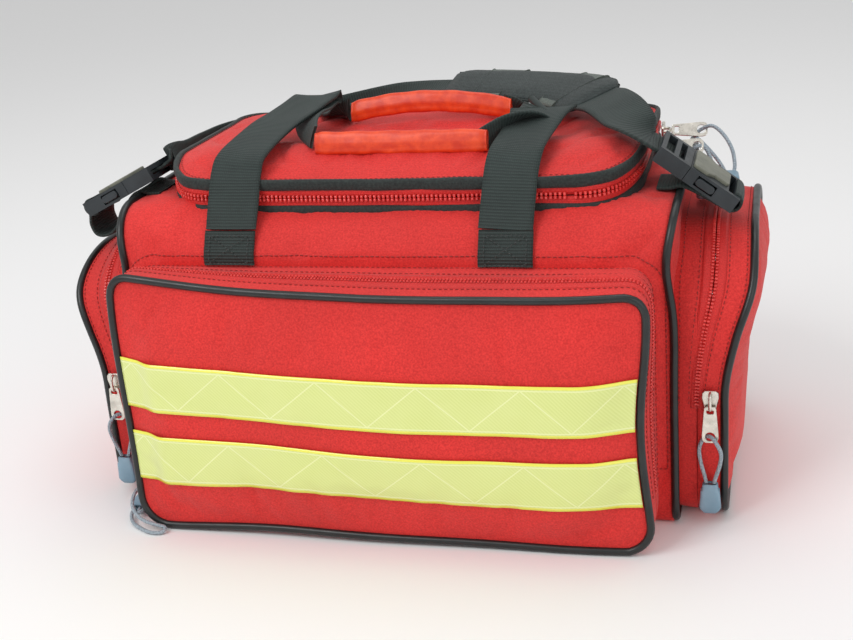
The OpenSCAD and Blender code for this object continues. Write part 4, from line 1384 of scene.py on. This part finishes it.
RIGHT_BUCKLE, RIGHT_TILT = (226, -50, 254), 36
LEFT_BUCKLE, LEFT_TILT = (-231, -50, 248.5), 26
RIGHT_RUN = [on_buckle(RIGHT_BUCKLE, RIGHT_TILT, 1, x) for x in (16, 34, 46)] + [
    (178, -42, 289), (166, -20, 295), (154, 2, 297), (142, 23, 295), (132, 37, 295)
]
RIGHT_RUN_ACROSS = [
    (0, 1, 0), (0, 1, 0), (0.05, 1, 0.05), (0.3, 0.9, 0.2), (0.6, 0.7, 0.25), (0.7, 0.65, 0.25),
    (0.7, 0.65, 0.25), (0.65, 0.7, 0.25)
]
PAD_RUN = [(142, 23, 295), (123, 49, 295), (96, 70, 295.5), (54, 87, 295), (8, 95, 294)]
PAD_ACROSS = [(0.7, 0.65, 0.3), (0.6, 0.75, 0.3), (0.5, 0.85, 0.22), (0.35, 0.9, 0.22), (0.2, 0.95, 0.3)]
LEFT_RUN = [
    (20, 93, 294), (8, 95, 294), (-25, 106, 289), (-60, 114, 282), (-120, 117, 270), (-172, 114, 260),
    (-200, 92, 258), (-207, 45, 259), (-203, 5, 262), (-198.5, -22, 267), (-196, -39, 269)
] + [on_buckle(LEFT_BUCKLE, LEFT_TILT, -1, x) for x in (41, 34, 16)]
LEFT_RUN_ACROSS = [
    (0.2, 0.95, 0.3), (0.2, 0.95, 0.3), (0, 0.8, 0.6), (0, 0.3, 1), (0, 0, 1), (0, 0, 1), (0, 0, 1),
    (0, 0, 1), (0, 0, 1), (-0.2, 0.3, 1), (-0.4, 0.8, 0.5), (0, 1, 0), (0, 1, 0), (0, 1, 0)
]


web_right = ribbon("strap_web_right", rows(RIGHT_RUN, RIGHT_RUN_ACROSS, 40), [WEB], seed=31)
web_left = ribbon("strap_web_left", rows(LEFT_RUN, LEFT_RUN_ACROSS, 20), [WEB], seed=33, cells=6)
attach(web_right, "shoulder_strap", "black_webbing", "strap_webbing")
attach(web_left, "shoulder_strap", "black_webbing")


def pad_rings(width, thick, t0, t1, n, end=True):
    """Rings of a soft pad: a crowned section that narrows at both ends."""
    r, _ = spline(rows(PAD_RUN, PAD_ACROSS, 1), 0.002)
    i0, i1 = t0 * (len(r) - 1), t1 * (len(r) - 1)
    f = np.linspace(i0, i1, n)
    r = sampled(np.arange(len(r)), f, r)
    t = unit(np.gradient(r[:, :3], axis=0))
    w = unit(r[:, 3:6] - t * np.sum(r[:, 3:6] * t, 1)[:, None])
    u = np.cross(t, w)
    a = np.linspace(0, 2 * np.pi, 44, endpoint=False)
    c, d = np.cos(a), np.sin(a)
    from_end = np.minimum(np.arange(n), np.arange(n)[::-1]) / (n - 1)
    narrow = 1 - 0.16 * (1 - step(from_end, 0, 0.10)) if end else np.ones(n)
    thin = 1 - 0.45 * (1 - step(from_end, 0, 0.06)) if end else np.ones(n)
    wide = (width / 2 * squarish(c, 0.85))[None, :, None] * narrow[:, None, None]
    high = (thick / 2 * squarish(d, 0.62))[None, :, None] * thin[:, None, None]
    return r[:, None, :3] + w[:, None] * wide + u[:, None] * high


def strap_pad():
    o = surface("shoulder_pad", pad_rings(0.055, 0.0085, 0, 1, 84), [PAD_CLOTH], closed_v=True, caps=True)
    weld(o, 0.00001)
    relax(o, np.full(len(o.data.vertices), 0.0), 3.0, 0.0015, -0.02, frames=10)
    sub = o.modifiers.new("smooth_foam", "SUBSURF")
    sub.levels = sub.render_levels = 1
    attach(o, "shoulder_strap", "black_webbing", "strap_pad")
    out = [o]
    for i, (t0, t1) in enumerate(((0.150, 0.300), (0.620, 0.800))):
        grid = pad_rings(0.0565, 0.0098, t0, t1, 22, end=False)
        b = surface("pad_band_%d" % (i + 1), grid, [BAND], closed_v=True, caps=True)
        bevel(b, 0.0008, 2, 50)
        attach(b, "shoulder_strap", "grey_webbing", "strap_pad_bands" if i == 0 else None)
        out.append(b)
    grid = pad_rings(0.0552, 0.0085, 0.004, 0.996, 100)
    for i, column in enumerate((0, 22)):
        tape = tube("pad_edge_%d" % (i + 1), grid[:, column], 0.0013, [BINDING], sides=8)
        attach(tape, "shoulder_strap", "black_webbing")
        out.append(tape)
    return out


for o in [web_right, web_left] + strap_pad():
    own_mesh(o)

# ---- buckles, anchors and trim that stay as the frame made them ----


for node in ("buckle_sockets", "right_buckle_plug", "left_buckle_plug"):
    o = CAD[node]
    o.data.materials.clear()
    o.data.materials.append(BLACK)
    bevel(o, 0.0009, 3, 32)


def buckle_frame(centre, tilt, side):
    return Matrix.Translation(mm(centre)) @ Rz(180 if side > 0 else 0) @ Ry(-tilt)


def place_local(o, m):
    o.data.transform(m)
    o.data.update()
    return o


def plate(name, outline_pts, holes, thick, edge, mat):
    """A flat part with rounded edges and real holes, in the XY plane."""
    c = bpy.data.curves.new(name, "CURVE")
    c.dimensions, c.fill_mode = "2D", "BOTH"
    c.extrude, c.bevel_depth, c.bevel_resolution = thick / 2 - edge, edge, 2
    c.offset = -edge
    for loop in [outline_pts] + list(holes):
        s = c.splines.new("POLY")
        s.points.add(len(loop) - 1)
        s.points.foreach_set("co", np.array([(x, y, 0, 1) for x, y in loop], np.float32).ravel())
        s.use_cyclic_u = True
    tmp = add_object(name + "_curve", c)
    bpy.context.view_layer.update()
    me = bpy.data.meshes.new_from_object(tmp.evaluated_get(bpy.context.evaluated_depsgraph_get()))
    bpy.data.objects.remove(tmp)
    o = add_object(name, me)
    me.materials.clear()
    me.materials.append(mat)
    weld(o, 0.000005)
    me.polygons.foreach_set("use_smooth", [False] * len(me.polygons))
    return o


def circle(cx, cy, r, n=28):
    return [
        (cx + r * math.cos(t), cy + r * math.sin(t))
        for t in np.linspace(0, 2 * math.pi, n, endpoint=False)
    ]


def soft_rect(w, h, r, cx=0, cy=0, n=6):
    out = []
    for sx, sy, a in ((1, -1, -90), (1, 1, 0), (-1, 1, 90), (-1, -1, 180)):
        for t in np.radians(np.linspace(a, a + 90, n)):
            out.append((cx + sx * (w / 2 - r) + r * math.cos(t), cy + sy * (h / 2 - r) + r * math.sin(t)))
    return out


# the release cover's outline, one half of it, in metres
COVER_HALF = [
    (-0.0230, -0.0120), (-0.0215, -0.0150), (-0.0110, -0.0150), (-0.0050, -0.0215), (0.0050, -0.0215),
    (0.0068, -0.0195)
]
# how the anchor webbing lies from the bag to each buckle: x and z, in metres
RIGHT_SAG = [
    (0.1975, 0.2458), (0.2070, 0.2460), (0.2150, 0.2478), (0.2230, 0.2450), (0.2360, 0.2375),
    (0.2475, 0.2305)
]
LEFT_SAG = [
    (0.1975, 0.2458), (0.2070, 0.2460), (0.2150, 0.2475), (0.2235, 0.2420), (0.2350, 0.2240),
    (0.2470, 0.2120), (0.2580, 0.2110), (0.2625, 0.2190), (0.2620, 0.2280)
]
ACROSS_Y = (0, 1, 0, 0.040)


def buckle_trim(side, name, m, sag):
    """What a buckle carries besides its moulded halves, m being its own frame."""
    outline = COVER_HALF + [(x, -y) for x, y in COVER_HALF[::-1]]
    cover = plate(name + "_buckle_cover", outline, [], 0.0030, 0.0009, TAUPE)
    place_local(cover, m @ Matrix.Translation((0, 0, 0.0070)))
    attach(cover, "shoulder_strap", "black_plastic")
    for k, y in enumerate((-0.0262, 0.0262)):
        lever = plate(
            name + "_buckle_lever_%d" % (k + 1), soft_rect(0.0150, 0.0060, 0.0025), [], 0.0024, 0.0006,
            BLACK
        )
        place_local(lever, m @ Matrix.Translation((-0.008, y, 0)) @ Rx(90))
        attach(lever, "shoulder_strap", "black_plastic")
    turns = np.radians(np.linspace(72, 288, 20))
    loop = [m @ Vector((-0.0315 + 0.0063 * math.cos(t), 0, 0.0063 * math.sin(t))) for t in turns]
    o = ribbon(
        name + "_anchor_loop", [[*p, *ACROSS_Y] for p in loop], [WEB], spacing=0.0015, soft=0.0002,
        seed=51
    )
    attach(o, "shoulder_strap", "black_webbing", "anchor_loops" if side > 0 else None)
    tail = [[side * x, -0.050, z, *ACROSS_Y] for x, z in sag]
    o = ribbon(name + "_anchor_tail", tail, [WEB], spacing=0.0012, seed=53)
    attach(o, "bag", "black_webbing", "strap_anchors" if side > 0 else None)


buckle_trim(1, "right", buckle_frame(RIGHT_BUCKLE, RIGHT_TILT, 1), RIGHT_SAG)
buckle_trim(-1, "left", buckle_frame(LEFT_BUCKLE, LEFT_TILT, -1), LEFT_SAG)

# ---- sliders and pulls ----


def mirrored(half):
    """A whole outline, in metres, from its right half in mm, listed from the top down."""
    whole = half + [(-x, y) for x, y in half[::-1]]
    return [(x * MM, y * MM) for x, y in whole]


def tab_mesh(name):
    right_half = [
        (3.0, -3.2), (4.0, -3.8), (4.4, -4.8), (6.0, -25.0), (6.0, -28.5), (5.2, -30.6), (3.2, -32.0)
    ]
    loop = mirrored(right_half)
    slot_hole = soft_rect(0.0052, 0.0036, 0.0014, cy=-0.0072)
    lower = circle(0, -27 * MM, 3.5 * MM)
    o = plate(name, loop, [slot_hole[::-1], lower[::-1]], 0.0016, 0.0004, NICKEL)
    place_local(o, Matrix.Translation((0, 0.009, 0)) @ Rx(90))
    return o


def slider_mesh(name):
    right_half = [(4.0, 8.0), (5.8, 6.2), (6.0, 2.5), (5.0, -1.5), (3.9, -6.8), (3.0, -8.0)]
    top = plate(name, mirrored(right_half), [], 0.0022, 0.0006, NICKEL)
    place_local(top, Matrix.Translation((0, 0.0056, 0)) @ Rx(90))
    arch_half = [(0, 6.0, 6.6), (0, 8.6, 6.2), (0, 10.6, 4.6), (0, 11.3, 1.5)]
    arch = arch_half + [(0, y, -z) for _, y, z in arch_half[::-1]]
    bridge = tube(name + "_arch", spline(mm(arch), 0.0008)[0], 0.0012, [NICKEL], sides=10)
    return join(name, [top, bridge])


lid_turn = Rz(90) @ Rx(90) @ Rz(90) @ Rx(90)
raise_tab = Matrix.Translation((0, 0.009, 0)) @ Ry(-25) @ Rx(90) @ Matrix.Translation((0, -0.009, 0))
frames = {
    "right": lift(238, -112, 100, Rz(180)),
    "left": lift(-238, -112, 100, Rz(180)),
    "front": lift(-200, -147.5, 50, Rz(90)),
    "rear": Rz(180) @ lift(-200, -147.5, 50, Rz(90)),
    "lid_a": lift(186, 66, 258.5, lid_turn),
    "lid_b": lift(186, 8, 258.5, lid_turn),
}
for key, m in frames.items():
    lid = key.startswith("lid")
    slider_body = key.replace("lid_", "lid_slider_") if lid else key + "_slider"
    pull_body = key.replace("lid_", "lid_pull_") if lid else key + "_pull"
    s = place_local(slider_mesh(key + "_zip_slider"), m)
    attach(s, slider_body, "nickel", slider_body)
    t = place_local(tab_mesh(key + "_zip_tab"), m @ (raise_tab if lid else Matrix.Identity(4)))
    attach(t, pull_body, "nickel", pull_body)

# ---- inside ----


def pad_box(name, lo, hi, r, node=None, puff=0.0):
    """A padded panel: a box with soft round edges and slightly crowned faces."""
    lo, hi = np.array(lo, float), np.array(hi, float)
    size = hi - lo
    n = [max(4, int(k / 0.008)) for k in size]
    verts, faces, index = [], [], {}

    def vid(p):
        key = tuple(np.round(p, 6))
        if key not in index:
            index[key] = len(verts)
            verts.append(p)
        return index[key]

    for ax in range(3):
        b, c = (ax + 1) % 3, (ax + 2) % 3
        for end in (0, 1):
            for i in range(n[b]):
                for j in range(n[c]):
                    q = []
                    for di, dj in ((0, 0), (1, 0), (1, 1), (0, 1)):
                        p = np.zeros(3)
                        p[ax], p[b], p[c] = end, (i + di) / n[b], (j + dj) / n[c]
                        q.append(vid(p))
                    faces.append(q if end else q[::-1])
    v = np.array(verts)
    p = lo + v * size
    core = np.clip(p, lo + r, hi - r)
    d = p - core
    k = np.linalg.norm(d, axis=1, keepdims=True)
    p = core + d / np.maximum(k, 1e-9) * np.minimum(k, r)
    thin = int(np.argmin(size))
    o2 = [a for a in range(3) if a != thin]
    crown = np.prod([np.clip(4 * v[:, a] * (1 - v[:, a]), 0, 1) ** 0.4 for a in o2], axis=0)
    p[:, thin] += puff * crown * np.where(v[:, thin] > 0.5, 1, -1) + 0.0005 * noise(p, 0.05, 97)
    return attach(new_piece(name, p, faces, mats=[LINING]), "bag", "base_board", node)


pad_box("base_panel", (-0.207, -0.115, 0.0042), (0.207, 0.115, 0.0082), 0.0015, "base_board")
for s, name in ((-1, "left"), (1, "right")):
    x = s * 0.070
    lo, hi = (x - 0.0028, -0.114, 0.0086), (x + 0.0028, 0.114, 0.1560)
    pad_box("divider_" + name, lo, hi, 0.0024, "dividers" if s < 0 else None, puff=0.0004)
    top = np.array([(x, y, 0.1565) for y in np.linspace(-0.113, 0.113, 40)])
    attach(tube("divider_edge_" + name, top, 0.0019, [BINDING], sides=8), "bag", "base_board")

# ---- floor ----

floor = new_piece(
    "floor", [(-30, -30, 0), (30, -30, 0), (30, 30, 0), (-30, 30, 0)], [(0, 1, 2, 3)],
    mats=[Paint("pale_floor", (0.93, 0.93, 0.93), 0.8).m]
)
